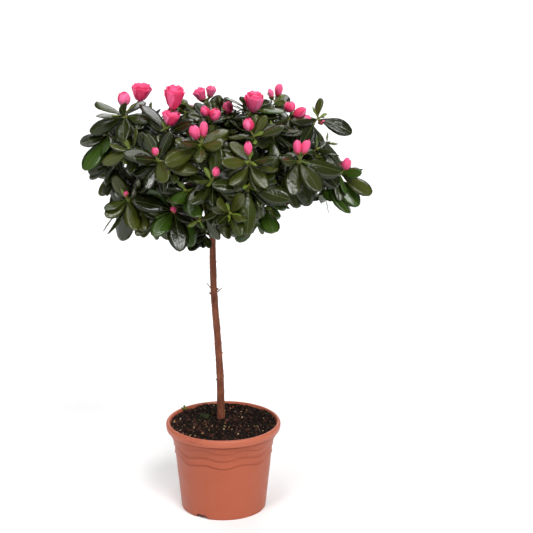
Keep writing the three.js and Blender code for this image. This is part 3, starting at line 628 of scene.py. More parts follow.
LEAF_MATERIALS = [leaf_material(*row) for row in (
    ("leaf_dark", (25, 30, 6), 0.18, 0.45),
    ("leaf_deep", (34, 42, 9), 0.18, 0.45),
    ("leaf_mid", (44, 54, 11), 0.2, 0.45),
    ("leaf_olive", (58, 63, 16), 0.24, 0.45),
    ("leaf_grey", (45, 50, 19), 0.18, 0.45),
    ("leaf_bronze", (70, 43, 23), 0.3, 0.45),
    ("leaf_fresh", (88, 106, 28), 0.4, 0.45),
    ("leaf_green", (46, 68, 15), 0.2, 0.45),
    ("leaf_under", (64, 70, 35), 0.6, 0.3),
    ("leaf_rib", (58, 70, 27), 0.4, 0.4),
    ("leaf_stalk", (120, 122, 56), 0.5, 0.4),
    ("bud_scale", (158, 92, 52), 0.6, 0.3),
    ("bud_green", (116, 128, 54), 0.55, 0.3),
)]
DARK, DEEP, MID, OLIVE, GREY, BRONZE, FRESH, GREEN, UNDER, RIB, STALK, SCALE, BUD_GREEN = range(13)
SPRAY_GREENS = (DEEP, MID, DARK, OLIVE, GREEN, GREY)
LEAF_KINDS = {  # share of the length that a leaf is wide, and the greens that it may take
    "seen": (0.5, (DEEP, MID, DEEP, OLIVE, GREEN, DARK)),
    "rule": (0.47, (DARK, DEEP, MID, DEEP, GREY, OLIVE)),
    "fine": (0.45, (DEEP, MID, DARK, OLIVE, GREY, DARK)),
    "old": (0.43, (DARK, GREY, DARK, OLIVE, BRONZE, DEEP)),
    "heart": (0.4, (FRESH, FRESH, GREEN)),
}
PETAL_MATERIALS = [
    petal_material("petal", (236, 82, 130)),
    petal_material("petal_light", (240, 104, 150)),
    # A darker copy of the petal pink: painted shade, on the bloom's closed core and on a few outer petals
    petal_material("petal_painted_shade", (210, 48, 92)),
]
TWIG_MATERIALS = [
    leaf_material("twig_brown", (96, 66, 44), 0.7, 0.3),
    leaf_material("twig_green", (104, 108, 54), 0.6, 0.3),
]
BARK = bark_material()


# Pot: an outline with its wavy ridges and notches


def outer_radius(height):
    return mix(FOOT_RADIUS, WALL_TOP_RADIUS, height / RIM_FOOT)


def wave_lift(height, azimuth):
    """How far a wavy row of the wall is shifted up at a place round it."""
    share = float(np.interp(height, (54, 68, 100.5, 106.5), (0, 1, 1, 0)))
    return share * WAVE_RISE / 2 * (1 + math.cos(WAVES_ROUND * (azimuth + TURN / 4) + TURN / 2))


def wall_relief(height):
    """How far the wall stands out above each wavy line, with a groove right under it, and at two faint rings."""
    relief = 0.0
    for line in WAVE_LINES:
        above = height - line
        if above > 0:
            relief += WAVE_LIP * math.exp(-above / 3.4)
        else:
            relief -= GROOVE["depth"] * limited(1.6 + above / GROOVE["height"])
    for ring in FAINT_RINGS:
        relief -= 0.14 * math.exp(-((height - ring) / 1.2) ** 2)
    return relief


def notch_height(azimuth):
    lift = 0
    for i in range(NOTCH["count"]):
        middle = math.radians(NOTCH["azimuth"]) + i * TURN / NOTCH["count"]
        off = abs((azimuth - middle + math.pi) % TURN - math.pi) * FOOT_RADIUS
        slope = (NOTCH["foot"] / 2 - off) / ((NOTCH["foot"] - NOTCH["top"]) / 2)
        lift = max(lift, NOTCH["height"] * limited(slope))
    return lift


def make_pot():
    sides = 288
    near_line = (-4, -2.9, -2, -1.08, -0.05, 0.05, 0.5, 1.4, 3)
    heights = sorted([
        *np.arange(1.5, 60, 2.6), 62.5, 65.5, 69, *(line + step for line in WAVE_LINES for step in near_line),
        104.5, 106, RIM_FOOT - 0.8,
    ])
    flare = stops([(RIM_FOOT - WALL_FLARE["height"], 0), (RIM_FOOT - 3, WALL_FLARE["reach"]), (RIM_FOOT, 2)])
    profile = [(0.02, 0), (HUB_RADIUS, 0), (HUB_RADIUS + 1, FLOOR_UNDERSIDE)]
    profile += [(FOOT_RADIUS - step, FLOOR_UNDERSIDE) for step in (11, 8, 5)]
    profile += [(FOOT_RADIUS + step, height) for step, height in FOOT_PROFILE]
    wall = range(len(profile), len(profile) + len(heights))
    rim = range(wall.stop + 2, wall.stop + 2 + RIM_ROWS)
    profile += [(outer_radius(height) + flare(height), height) for height in heights]
    profile.append((outer_radius(RIM_FOOT) + flare(RIM_FOOT), RIM_FOOT - 0.3))
    profile += [(RIM_RADIUS - step, POT_HEIGHT - down) for step, down in RIM_PROFILE]
    profile += [(outer_radius(height) - WALL, height) for height in (RIM_FOOT - 3, 60, FLOOR_TOP)]
    profile += [(30, FLOOR_TOP), (0.02, FLOOR_TOP)]
    points = []
    for row, (radius, height) in enumerate(profile):
        for column in range(sides):
            azimuth = column * TURN / sides
            r, z = radius, height
            if row in wall:
                r += wall_relief(height)
                z += wave_lift(height, azimuth)
            if radius > FOOT_RADIUS - 5.2 and height < NOTCH["height"]:
                z = max(z, notch_height(azimuth) + 0.02 * row)
            points.append((r * math.cos(azimuth), r * math.sin(azimuth), z))
    builder = Builder()
    faces = grid_faces(len(profile), sides)
    # The rim's rows take the second material, the wall's plastic made lighter: painted light on the upward-facing rim
    builder.add(points, faces, [int(face // sides in rim) for face in range(len(faces))])
    piece = builder.make("pot_shell", [
        pot_material("pot_plastic", (159, 79, 54), (169, 87, 61)),
        # The same plastic painted lighter: painted light where the rim faces up
        pot_material("pot_rim_painted_light", (169, 89, 65), (179, 98, 73)),
    ])
    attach(piece, "root")
    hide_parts("pot")


# Soil: a heaped surface of peat with crumbs, chips and a patch of moss


def soil_height(x, y):
    back = 1.1 * max(0, y) / 68  # the soil stands a little higher at the back
    seat = SOIL_SEAT_HEIGHT - 0.5
    base = back + float(np.interp(
        math.hypot(x, y), [0, SOIL_SEAT_RADIUS, 50, 68], [seat, seat, SOIL_EDGE_HEIGHT + 1.2, SOIL_EDGE_HEIGHT],
    ))
    rough = noise.fractal(Vector((x * 0.09, y * 0.09, 3.1)), 0.6, 2.1, 5)
    lumps = noise.noise(Vector((x * 0.045, y * 0.045, 7.7)))
    return base + 1.5 * rough + 1.5 * lumps - 0.5


def crumb_shape():
    """The points and faces of a small icosahedron."""
    golden = (1 + 5 ** 0.5) / 2
    points = [(-1, golden, 0), (1, golden, 0), (-1, -golden, 0), (1, -golden, 0), (0, -1, golden), (0, 1, golden),
              (0, -1, -golden), (0, 1, -golden), (golden, 0, -1), (golden, 0, 1), (-golden, 0, -1), (-golden, 0, 1)]
    faces = [(0, 11, 5), (0, 5, 1), (0, 1, 7), (0, 7, 10), (0, 10, 11), (1, 5, 9), (5, 11, 4), (11, 10, 2),
             (10, 7, 6), (7, 1, 8), (3, 9, 4), (3, 4, 2), (3, 2, 6), (3, 6, 8), (3, 8, 9), (4, 9, 5), (2, 4, 11),
             (6, 2, 10), (8, 6, 7), (9, 8, 1)]
    return np.array(points) / 1.9, faces


def make_soil():
    sides = 168
    radii = np.concatenate([[0.3], np.arange(2, 68.2, 1.1), [68.5]])
    low = FLOOR_TOP + GAP
    points = [(r * cos, r * sin, soil_height(r * cos, r * sin)) for r in radii for cos, sin in circle(sides)]
    points += [
        (r * cos, r * sin, height)
        for r, height in (
            (outer_radius(RIM_FOOT - 3) - WALL - GAP, RIM_FOOT - 4), (outer_radius(FLOOR_TOP) - WALL - GAP, low),
            (0.3, low),
        )
        for cos, sin in circle(sides)
    ]
    builder = Builder()
    builder.add(points, grid_faces(len(radii) + 3, sides, flip=True), 0)
    random = np.random.default_rng(4)
    crumb, crumb_faces = crumb_shape()

    def lay(shape, x, y, rise, slot):
        builder.add(shape + (x, y, soil_height(x, y) + rise), crumb_faces, slot)

    for count, sizes, stretch, slot in CRUMBS:
        for _ in range(count):
            radius = CRUMBS_REACH * math.sqrt(random.random())
            azimuth = random.random() * TURN
            x, y = radius * math.cos(azimuth), radius * math.sin(azimuth)
            if math.hypot(x - TRUNK_X, y - TRUNK_Y) < TRUNK_CLEARING:
                continue
            size = random.uniform(*sizes)
            shape = crumb * size * random.uniform(*stretch, 3) * random.uniform(0.8, 1.2, (12, 3))
            turn = random.random() * TURN
            tilt = random.uniform(-CRUMB_TILT, CRUMB_TILT)
            (c, s), (cos, sin) = ((math.cos(angle), math.sin(angle)) for angle in (tilt, turn))
            leant = shape @ np.array([[1, 0, 0], [0, c, s], [0, -s, c]])
            lay(leant @ np.array([[cos, sin, 0], [-sin, cos, 0], [0, 0, 1]]), x, y, size * 0.2, slot)
    for _ in range(MOSS["bits"]):
        x, y = random.normal(MOSS["at"], MOSS["spread"])
        size = random.uniform(*MOSS["sizes"])
        lay(crumb * size * random.uniform(0.7, 1.2, 3), x, y, size * 0.3, 6)
    for number in range(RIM_DUST["bits"]):  # peat left on the front of the rim, a few crumbs and then dust
        coarse = number < RIM_DUST["crumbs"]
        azimuth = math.radians(random.normal(RIM_DUST["azimuth"], RIM_DUST["spread"]))
        height = random.uniform(*RIM_DUST["heights"])
        radius = RIM_RADIUS - 0.1 - 0.35 * max(0, height - 114.6)
        size = random.uniform(0.25, 0.5) if coarse else random.uniform(0.12, 0.38)
        middle = (radius * math.cos(azimuth), radius * math.sin(azimuth), height)
        builder.add(crumb * size * random.uniform(0.6, 1.3, 3) + middle, crumb_faces, 1 if coarse else 8)
    for number in range(HEAP["bits"]):
        azimuth = random.random() * TURN
        radius = random.uniform(*HEAP["radii"])
        x, y = radius * math.cos(azimuth) + TRUNK_X, radius * math.sin(azimuth) + TRUNK_Y
        size = random.uniform(*HEAP["sizes"])
        rise = HEAP["rise"] * (HEAP["radii"][1] - radius) / 3
        lay(crumb * size * random.uniform(0.6, 1.3, 3), x, y, rise, number % 3 // 2)
    for lean, length in ((-0.7, 7.5), (0.6, 6), (-0.1, 9)):  # a sprout by the rim
        sprout = leaf_frame(vec(-51, 43, SOIL_EDGE_HEIGHT), unit(vec(lean, -0.3, 1)), vec(0, -1, 0.2))
        builder.add(leaf_points(sprout, length, Seeded(int(length * 10)), 0.34), LEAF_FACES, 7)
    piece = builder.make("soil_top", [soil_material(), *(leaf_material(*row) for row in (
        ("peat_fibre", (62, 34, 26), 0.9, 0.2),
        ("perlite", (190, 166, 130), 0.9, 0.2),
        ("wood_chip", (150, 112, 76), 0.85, 0.2),
        ("orange_bit", (178, 76, 32), 0.8, 0.2),
        ("green_bit", (74, 72, 32), 0.85, 0.2),
        ("moss", (46, 56, 30), 0.95, 0.1),
        ("sprout", (112, 112, 44), 0.6, 0.3),
        ("peat_dust", (142, 66, 46), 0.9, 0.1),
    ))])
    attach(piece, "root")
    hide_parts("soil")


# Trunk and boughs

trunk_curve = spline(TRUNK_LINE)
trunk_radius = stops(TRUNK_RADII)


def trunk_at(height):
    low, high = 0.0, 1.0
    for _ in range(40):
        middle = (low + high) / 2
        if trunk_curve.at(middle)[2] < height:
            low = middle
        else:
            high = middle
    return trunk_curve.at(low), trunk_radius(low)


limb_points = []
limb_radii = []


def note_limb(curve, radius_at):
    steps = math.ceil(curve.length / 3)
    for i in range(steps + 1):
        limb_points.append(curve.at(i / steps))
        limb_radii.append(radius_at(i / steps))


note_limb(trunk_curve, trunk_radius)

# Crown: shoots and masses, by the part's rule


def crown_point(azimuth, polar):
    spread = math.sin(polar) ** 0.8
    height = math.cos(polar)
    x = CROWN["x"] + CROWN["reach_x"] * spread * math.cos(azimuth)
    y = CROWN["y"] + CROWN["reach_y"] * spread * math.sin(azimuth)
    lift = CROWN["rise"] * height ** 0.8 if height > 0 else CROWN["fall"] * height
    drop = CROWN["back_fall"] * max(0, y - CROWN["y"]) + CROWN["right_fall"] * max(0, x - CROWN["x"])
    return vec(x, y, CROWN["z"] + lift - drop)


def crown_points(count):
    """Points spread evenly over the crown's surface."""
    lowest = math.cos(math.radians(CROWN_LOWEST_POLAR))
    return [crown_point(i * GOLDEN_ANGLE, math.acos(1 - (1 - lowest) * (i + 0.5) / count)) for i in range(count)]


def facing(tip):
    return unit(unit(tip - vec(CROWN["x"], CROWN["y"], CROWN["z"] - 20)) + LIGHT_PULL)


def crown_floor(tip):
    climb = RIGHT_RISE["slope"] * max(0, tip[0] - RIGHT_RISE["from"])
    step = RIGHT_RISE["lift"] if tip[0] > RIGHT_RISE["step"] else 0
    return LOWEST_SHOOT + climb + step - VIEW_SLOPE * max(0, tip[1])


def new_shoot(tip, blooms=(), seen=(), size=1):
    return {"tip": tip, "axis": facing(tip), "blooms": blooms, "seen": seen, "size": size}


shoots = [new_shoot(vec(*at), blooms, leaves) for at, blooms, leaves in SEEN_SHOOTS]
for i, place in enumerate(crown_points(DOME_SHOOTS)):
    random = Seeded(700 + i)
    tip = place + vec(random() - 0.5, random() - 0.5, random() - 0.5) * 12
    crowded = any(np.linalg.norm(shoot["tip"] - tip) < SHOOT_SPACING for shoot in shoots)
    if tip[2] > crown_floor(tip) and not crowded:
        chance = random()
        size = 10 + 5 * random()
        kind = "candle" if chance < 0.2 else "bud"
        bloom = (0, 13, size, size * (1.6 if kind == "candle" else 1.2), kind)
        blooming = chance < REAR_BLOOM["chance"] and tip[2] > CROWN["z"] and tip[1] > REAR_BLOOM["from"]
        shoots.append(new_shoot(tip, [bloom] if blooming else []))

seen_blooms = np.array([
    (*(vec(*at) + vec(x, 0, z)), (width + length) / 4 + 1)
    for at, blooms, _ in SEEN_SHOOTS for x, z, width, length, _ in blooms
])
bloom_middles, bloom_radii = seen_blooms[:, :3], seen_blooms[:, 3]

masses = []
boughs = []
for level, ways, start_azimuth, polar, forks in RINGS:
    for i, way in enumerate(ways):
        middle = crown_point(math.radians(start_azimuth) + i * TURN / len(ways), math.radians(polar))
        start, _ = trunk_at(forks[i])
        leader = level == "top"
        if leader:
            start = start + UP * GAP
        end = mix(start, middle, BOUGH_SHARE)
        reach = np.linalg.norm(end - start)
        knee = start + unit(end - start) * reach * 0.5 + UP * (4 if leader else -5)
        curve = bezier(start, knee, end)
        radius_at = taper(LEADER_BASE_RADIUS if leader else BOUGH_BASE_RADIUS, BOUGH_TIP_RADIUS)
        note_limb(curve, radius_at)
        boughs.append((f"{level}_{way}", curve, radius_at))
        heading = unit(end - knee)
        stem_from = end + heading * GAP
        masses.append({
            "name": f"{level}_{way}", "middle": middle, "heading": heading,
            "from": stem_from, "to": stem_from + heading * STEM_LENGTH, "shoots": [],
        })

for shoot in shoots:
    nearest = min(masses, key=lambda mass: np.linalg.norm(mass["middle"] - shoot["tip"]))
    nearest["shoots"].append(shoot)

trunk_shoot = new_shoot(vec(*TRUNK_SHOOT["at"]), seen=TRUNK_SHOOT["leaves"], size=TRUNK_SHOOT["size"])
trunk_shoot["axis"] = unit(vec(-0.35, -0.75, 0.45))
trunk_shoot_root, trunk_shoot_radius = trunk_at(TRUNK_SHOOT["height"])
way = unit(trunk_shoot["tip"] - trunk_shoot_root)
stem_from = trunk_shoot_root + way * (trunk_shoot_radius + GAP + 0.2)
masses.append({
    "name": "trunk_shoot", "heading": way, "shoots": [trunk_shoot], "from": stem_from, "to": stem_from + way * 10,
})


def on_bar(curve, share):
    """The middle of a bar of a few straight steps, at a share of its curve."""
    step = min(TWIG_STEPS - 1, int(share * TWIG_STEPS))
    return mix(curve.at(step / TWIG_STEPS), curve.at((step + 1) / TWIG_STEPS), share * TWIG_STEPS - step)


def below_tip(shoot, distance):
    return on_bar(shoot["twig"], 1 - distance / shoot["twig"].length)


bones = []  # from, to, number of the mass, whether it is a twig
for number, mass in enumerate(masses):
    for i, shoot in enumerate(mass["shoots"]):
        share = 0.35 + 0.6 * (i + 0.5) / len(mass["shoots"])
        start = mix(mass["from"], mass["to"], share)
        tip = shoot["tip"]
        span = np.linalg.norm(tip - start)
        shoot["twig"] = bezier(start, start + mass["heading"] * span * 0.3, tip - shoot["axis"] * span * 0.25, tip)
        shoot["bone"] = len(bones)
        bones.append((start, tip, number, True))
        shoot["lines"] = []
        for share, x, y, z, *turn in shoot["seen"]:
            root = on_bar(shoot["twig"], share) if share < 1 else below_tip(shoot, SEEN_DEPTH)
            shoot["lines"].append((root, tip + vec(x, y, z), *(turn or [None])))
            bones.append((root, tip + vec(x, y, z), number, False))
    bones.append((mass["from"], mass["to"], number, False))

bones_from, bones_to, bone_mass, is_twig = (np.array(column) for column in zip(*bones))
bones_span = bones_to - bones_from
bones_square = (bones_span ** 2).sum(1)
limb_points, limb_radii = np.array(limb_points), np.array(limb_radii)


def free_to_view(points):
    """Whether all the points lie in the crown's outline as seen from the front, and none hides a bloom there."""
    height = points[:, 2] + VIEW_SLOPE * points[:, 1]
    low = np.interp(points[:, 0], *zip(*SEEN_BOTTOM))
    high = np.interp(points[:, 0], *zip(*SEEN_TOP))
    return bool(((height > low) & (height < high)).all()) and not hides_bloom(points)


def hides_bloom(points):
    """Whether any of the points stands between the viewer and a bloom that is seen from the front."""
    away = points[:, None] - bloom_middles
    nearer = away @ TO_VIEWER
    square = (away ** 2).sum(2) - nearer ** 2
    return bool(((nearer > 0) & (square < bloom_radii ** 2)).any())


def clear_of_limbs(points):
    away = np.linalg.norm(points[:, None] - limb_points[None], axis=2)
    return bool((away > limb_radii + LIMB_MARGIN).all())


def in_space(points, number, shoot, overlap=TWIG_OVERLAP):
    """Whether all the points lie in the mass's own space and clear of every limb."""
    offset = points[:, None] - bones_from[None]
    share = np.clip((offset * bones_span[None]).sum(2) / bones_square, 0, 1)
    distance = np.linalg.norm(offset - share[..., None] * bones_span[None], axis=2)
    own = bone_mass == number
    if not (distance[:, ~own].min(1) > distance[:, own].min(1) + SPACE_MARGIN).all():
        return False
    others = own & is_twig
    others[shoot["bone"]] = False
    if others.any() and not (distance[:, others].min(1) > distance[:, shoot["bone"]] - overlap).all():
        return False
    return clear_of_limbs(points)


def leaf_bend(length, share, sideways, width):
    return -length * (LEAF_DROOP * share * share + LEAF_CUP * width * np.abs(sideways))


def leaf_frame(root, direction, face):
    side = unit(np.cross(direction, face))
    return np.array([root, direction, side, np.cross(side, direction)])


def leaf_rows(frame, length, leaf):
    """Test points along the leaf's two edges and its middle."""
    root, direction, side, face = frame
    shares = np.array(LEAF_TESTS)
    half = np.interp(shares, *zip(*leaf["halves"]))
    return np.array([
        root + np.outer(length * shares, direction) + np.outer(length * leaf["width"] * sideways, side)
        + np.outer(leaf_bend(length, shares, sideways, leaf["width"]), face)
        for sideways in (-1 * half, 0 * half, half)
    ])


def passes_through(rows, frames, lengths, leaf):
    """rows (A, 3, K, 3) tried against leaves (B,), where A or B is 1: any touch or crossing."""
    roots, directions, sides, faces = (frames[:, i][:, None, None] for i in range(4))
    offset = rows - roots
    lengths = lengths[:, None, None]
    share = (offset * directions).sum(3) / lengths
    sideways = (offset * sides).sum(3) / (lengths * leaf["width"])
    half = np.interp(np.minimum(share, 1), *zip(*leaf["halves"])) + 0.05
    inside = (share > 0.16) & (share < 1.02) & (np.abs(sideways) < half)
    height = (offset * faces).sum(3) - leaf_bend(lengths, share, sideways, leaf["width"])
    if (inside & (np.abs(height) < leaf["clearance"])).any():
        return True
    either = inside[..., 1:] | inside[..., :-1]
    crossing = (height[..., 1:] * height[..., :-1] < 0) & (np.abs(height[..., 1:] - height[..., :-1]) < 12)
    return bool((either & crossing).any())


class Leaves:
    """Leaves as arrays, for testing a new one against them."""

    def __init__(self, number=None, most=600):
        self.number = number
        self.frames = np.zeros((most, 4, 3))
        self.lengths = np.zeros(most)
        self.rows = np.zeros((most, 3, len(LEAF_TESTS), 3))
        self.count = 0
        self.kinds = []

    def add(self, frame, length, rows, kind):
        self.frames[self.count] = frame
        self.lengths[self.count] = length
        self.rows[self.count] = rows
        self.kinds.append(kind)
        self.count += 1

    def take(self, frame, length, rows, kind, leaf):
        """Adds a leaf unless it touches or crosses another, and says whether it did."""
        near = np.linalg.norm(self.frames[:self.count, 0] - frame[0], axis=1) < length + self.lengths[:self.count]
        frames, lengths = self.frames[:self.count][near], self.lengths[:self.count][near]
        if near.any() and (
            passes_through(rows[None], frames, lengths, leaf)
            or passes_through(self.rows[:self.count][near], frame[None], np.array([length]), leaf)
        ):
            return False
        self.add(frame, length, rows, kind)
        return True


def leaf_at(at, direction, face, length, leaf):
    frame_of_leaf = leaf_frame(at - direction * 0.8, direction, face)
    return frame_of_leaf, length, leaf_rows(frame_of_leaf, length, leaf)


def place_leaf(leaves, shoot, leaf, kind, at, azimuth, tilt, sag, length, roll):
    axis = shoot["axis"]
    radial = spokes(axis)(azimuth)
    for lift, shrink in LEAF_TRIES:
        direction = unit(leaning(axis, radial, tilt - lift) - UP * sag * (1 - lift / 50))
        made = leaf_at(at, direction, turned(axis + UP * 0.35, direction, roll), length * shrink, leaf)
        points = made[2].reshape(-1, 3)
        if free_to_view(points) and in_space(points, leaves.number, shoot) and leaves.take(*made, kind, leaf):
            return True
    return False


def place_leaves(leaves, shoot, leaf, kind, most, tries, placed=0):
    """Places leaves from tries of (at, azimuth, tilt, sag, length, roll) until there are enough."""
    for place in tries if placed < most else ():
        placed += place_leaf(leaves, shoot, leaf, kind, *place)
        if placed >= most:
            break
    return placed


def seen_face(shoot, root, tip, turn):
    """The upper side of a seen leaf: turned from the viewer by its own angle, or the way its shoot points."""
    if turn is None:
        return shoot["axis"] + UP * 0.35
    way = unit(tip - root)
    edge = unit(np.cross(TO_VIEWER, way))
    edge = edge * (np.sign(edge[2]) or 1)
    return leaning(unit(TO_VIEWER - way * np.dot(TO_VIEWER, way)), edge, turn)


def place_seen_leaves(leaves, shoot):
    """The leaves of a shoot that are given by their tips. Their bend is allowed for."""
    shoot["placed"] = 0
    for root, seen_tip, turn in shoot["lines"]:
        face = seen_face(shoot, root, seen_tip, turn)
        for back, shrink in SEEN_TRIES:
            reach = np.linalg.norm(seen_tip - root) * shrink
            tip = seen_tip - TO_VIEWER * back * reach
            way = unit(tip - root)
            lift = unit(face - way * np.dot(face, way))
            direction = unit(tip + lift * LEAF_DROOP * reach - root)
            made = leaf_at(root, direction, face, reach * 1.02, RULE_LEAF)
            clear = in_space(made[2].reshape(-1, 3), leaves.number, shoot, math.inf)
            if clear and leaves.take(*made, "seen", RULE_LEAF):
                shoot["placed"] += 1
                break


def grow_rule_leaves(leaves, shoot, seed):
    """The leaves that the part's own solids have, at the same places."""
    random = Seeded(seed * 31 + 5)
    shoot["spin"] = spin = TURN * 0.75 + (random() - 0.5) * SPIN_SPREAD
    whole = RULE_LEAF["length"] * shoot["size"]

    def rosette():
        for i in range(ROSETTE["tries"]):
            outer = i < ROSETTE["outer"]
            tilt = 78 + 22 * random() if outer else 42 + 16 * random() + INNER_TILT * max(0, shoot["axis"][2])
            sag = 0.35 + 0.45 * random() if outer else 0.05
            length = whole * (0.85 + 0.3 * random() if outer else 0.6 + 0.2 * random())
            at = below_tip(shoot, ROSETTE["depth"] * (1 - i / ROSETTE["tries"]) + 0.6)
            yield at, spin + i * GOLDEN_ANGLE, tilt, sag, length, random() - 0.5

    def along():
        for i, share in enumerate(TWIG_LEAVES):
            length = whole * (0.8 + 0.25 * random())
            tilt = 72 + 16 * random()
            yield on_bar(shoot["twig"], share), spin + (i + 20) * GOLDEN_ANGLE, tilt, 0.3, length, random() - 0.5

    place_leaves(leaves, shoot, RULE_LEAF, "rule", ROSETTE["leaves"], rosette(), shoot["placed"])
    place_leaves(leaves, shoot, RULE_LEAF, "rule", 1, along())


def grow_fine_leaves(leaves, shoot, seed):
    """Smaller leaves between those of the rule, up the rosette."""
    random = Seeded(seed * 17 + 4001)
    twig = shoot["twig"]

    def rosette():
        for i in range(FINE_ROSETTE["tries"]):
            share = i / FINE_ROSETTE["tries"]
            tilt = 104 - 58 * share + 12 * (random() - 0.5)
            sag = 0.4 * (1 - share) * random()
            length = DRAWN_LEAF["length"] * shoot["size"] * (1.02 - 0.38 * share) * random.between(0.85, 1.1)
            at = twig.at(1 - (FINE_ROSETTE["depth"] * (1 - share) + 0.4) / twig.length)
            yield at, shoot["spin"] + (i + 0.5) * GOLDEN_ANGLE, tilt, sag, length, random() - 0.5

    place_leaves(leaves, shoot, DRAWN_LEAF, "fine", FINE_ROSETTE["leaves"], rosette())


def grow_side_twigs(leaves, shoot, seed):
    """Short twigs off a shoot's own, each with a small rosette of its own."""
    random = Seeded(seed * 23 + 6007)
    axis = shoot["axis"]
    shoot["side_twigs"] = []

    def rosette(twig):
        for k in range(SIDE_TWIGS["tries"]):
            up = k / SIDE_TWIGS["tries"]
            length = random.between(*SIDE_TWIGS["leaf"]) * shoot["size"] * (1.1 - 0.3 * up)
            yield twig.at(0.6 + 0.38 * up), (k + 0.5) * GOLDEN_ANGLE, 92 - 44 * up, 0.2, length, random() - 0.5

    for i, share in enumerate(SIDE_TWIGS["shares"]):
        radial = spokes(axis)(shoot["spin"] + 2 + i * GOLDEN_ANGLE)
        direction = unit(leaning(axis, radial, random.between(52, 72)) + UP * 0.15)
        root = shoot["twig"].at(share)
        length = random.between(*SIDE_TWIGS["length"]) * shoot["size"]
        bend = unit(direction + axis * 0.5)
        knee = root + direction * length * 0.6
        tip = knee + bend * length * 0.4
        points = np.array([mix(root, tip, place) for place in (0.5, 0.75, 1)])
        if hides_bloom(points) or not in_space(points, leaves.number, shoot):
            continue
        side = {**shoot, "axis": bend, "tip": tip, "twig": bezier(root, knee, tip)}
        if place_leaves(leaves, side, DRAWN_LEAF, "fine", SIDE_TWIGS["leaves"], rosette(side["twig"])):
            shoot["side_twigs"].append(side["twig"])


def grow_old_leaves(leaves, shoot, seed):
    """Older leaves down the bare part of the twig."""
    random = Seeded(seed * 17 + 8009)

    def along():
        for i, share in enumerate(OLD_LEAVES["shares"]):
            length = DRAWN_LEAF["length"] * shoot["size"] * random.between(0.7, 1.05)
            azimuth = shoot["spin"] + (i + 31.5) * GOLDEN_ANGLE
            yield shoot["twig"].at(share), azimuth, random.between(60, 88), 0.25, length, random() - 0.5

    place_leaves(leaves, shoot, DRAWN_LEAF, "old", OLD_LEAVES["leaves"], along())


def fill_gaps(grown):
    """Leaves off the twigs, turned out of the crown, across the places that no leaf covers.

    They may cross from one mass's space into the next, so they are tried against the leaves of every mass.
    """
    every = Leaves(most=4000)
    for leaves in grown:
        for k in range(leaves.count):
            every.add(leaves.frames[k], leaves.lengths[k], leaves.rows[k], leaves.kinds[k])
    centre = vec(CROWN["x"], CROWN["y"], CROWN["z"])
    roots = [
        (number, twig.at(share))
        for number, mass in enumerate(masses) for shoot in mass["shoots"]
        for twig in (shoot["twig"], *shoot["side_twigs"]) for share in FILLERS["roots"]
    ]
    root_points = np.array([root for _, root in roots])
    least, furthest = FILLERS["reach"]
    for i, place in enumerate(crown_points(FILLERS["places"])):
        middle = mix(centre, place, FILLERS["depths"][i % len(FILLERS["depths"])])
        if middle[1] < FILLERS["from"] or middle[2] < crown_floor(middle) - 8:
            continue
        if np.linalg.norm(every.rows[:every.count] - middle, axis=3).min() < FILLERS["gap"]:
            continue
        ways = np.linalg.norm(root_points - middle, axis=1)
        for k in [k for k in np.argsort(ways) if least < ways[k] < furthest][:FILLERS["tries"]]:
            number, root = roots[k]
            made = leaf_at(
                root, unit(middle - root), facing(middle) + UP * 0.2, ways[k] + FILLERS["past"], DRAWN_LEAF,
            )
            points = made[2].reshape(-1, 3)
            if free_to_view(points) and clear_of_limbs(points) and every.take(*made, "fine", DRAWN_LEAF):
                grown[number].add(*made, "fine")
                break


# A drawn leaf: two skins that meet at its edge, with a sunken midrib and puckered side veins

LEAF_COLUMNS = (-1, -0.56, "rib", "rib", 0.56, 1)
LEAF_ROWS = 15
ROW_SHARES = [0, 0.05, 0.1, 0.16] + [0.16 + 0.84 * (k / 11) ** 0.92 for k in range(1, 12)]
LEAF_VARIES = ((0.10, 0.24), (-0.05, 0.16), (-0.35, 0.35), (0.1, 0.6), (0, TURN))  # curl, trough, twist, ripple, phase
leaf_width_at = stops(DRAWN_LEAF["halves"])


def leaf_faces():
    """Faces of one leaf and which skin each belongs to: 0 upper, 1 under, 2 rib, 3 stalk."""
    columns = len(LEAF_COLUMNS)
    top = np.arange(LEAF_ROWS * columns).reshape(LEAF_ROWS, columns)
    under = top.copy()
    under[:, 1:-1] = top.size + np.arange(LEAF_ROWS * (columns - 2)).reshape(LEAF_ROWS, columns - 2)
    faces, skins = [], []
    for row in range(LEAF_ROWS - 1):
        for column in range(columns - 1):
            for skin, ((a, b), (d, c)) in enumerate(grid[row:row + 2, column:column + 2] for grid in (top, under)):
                faces.append((a, d, c, b) if skin else (a, b, c, d))
                skins.append(3 if row < 2 else 2 if column == 2 else skin)
    faces += [(*top[0][::-1], *under[0][1:-1]), (*top[-1], *under[-1][1:-1][::-1])]
    return faces, skins + [3, 0]


LEAF_FACES, LEAF_SKINS = leaf_faces()


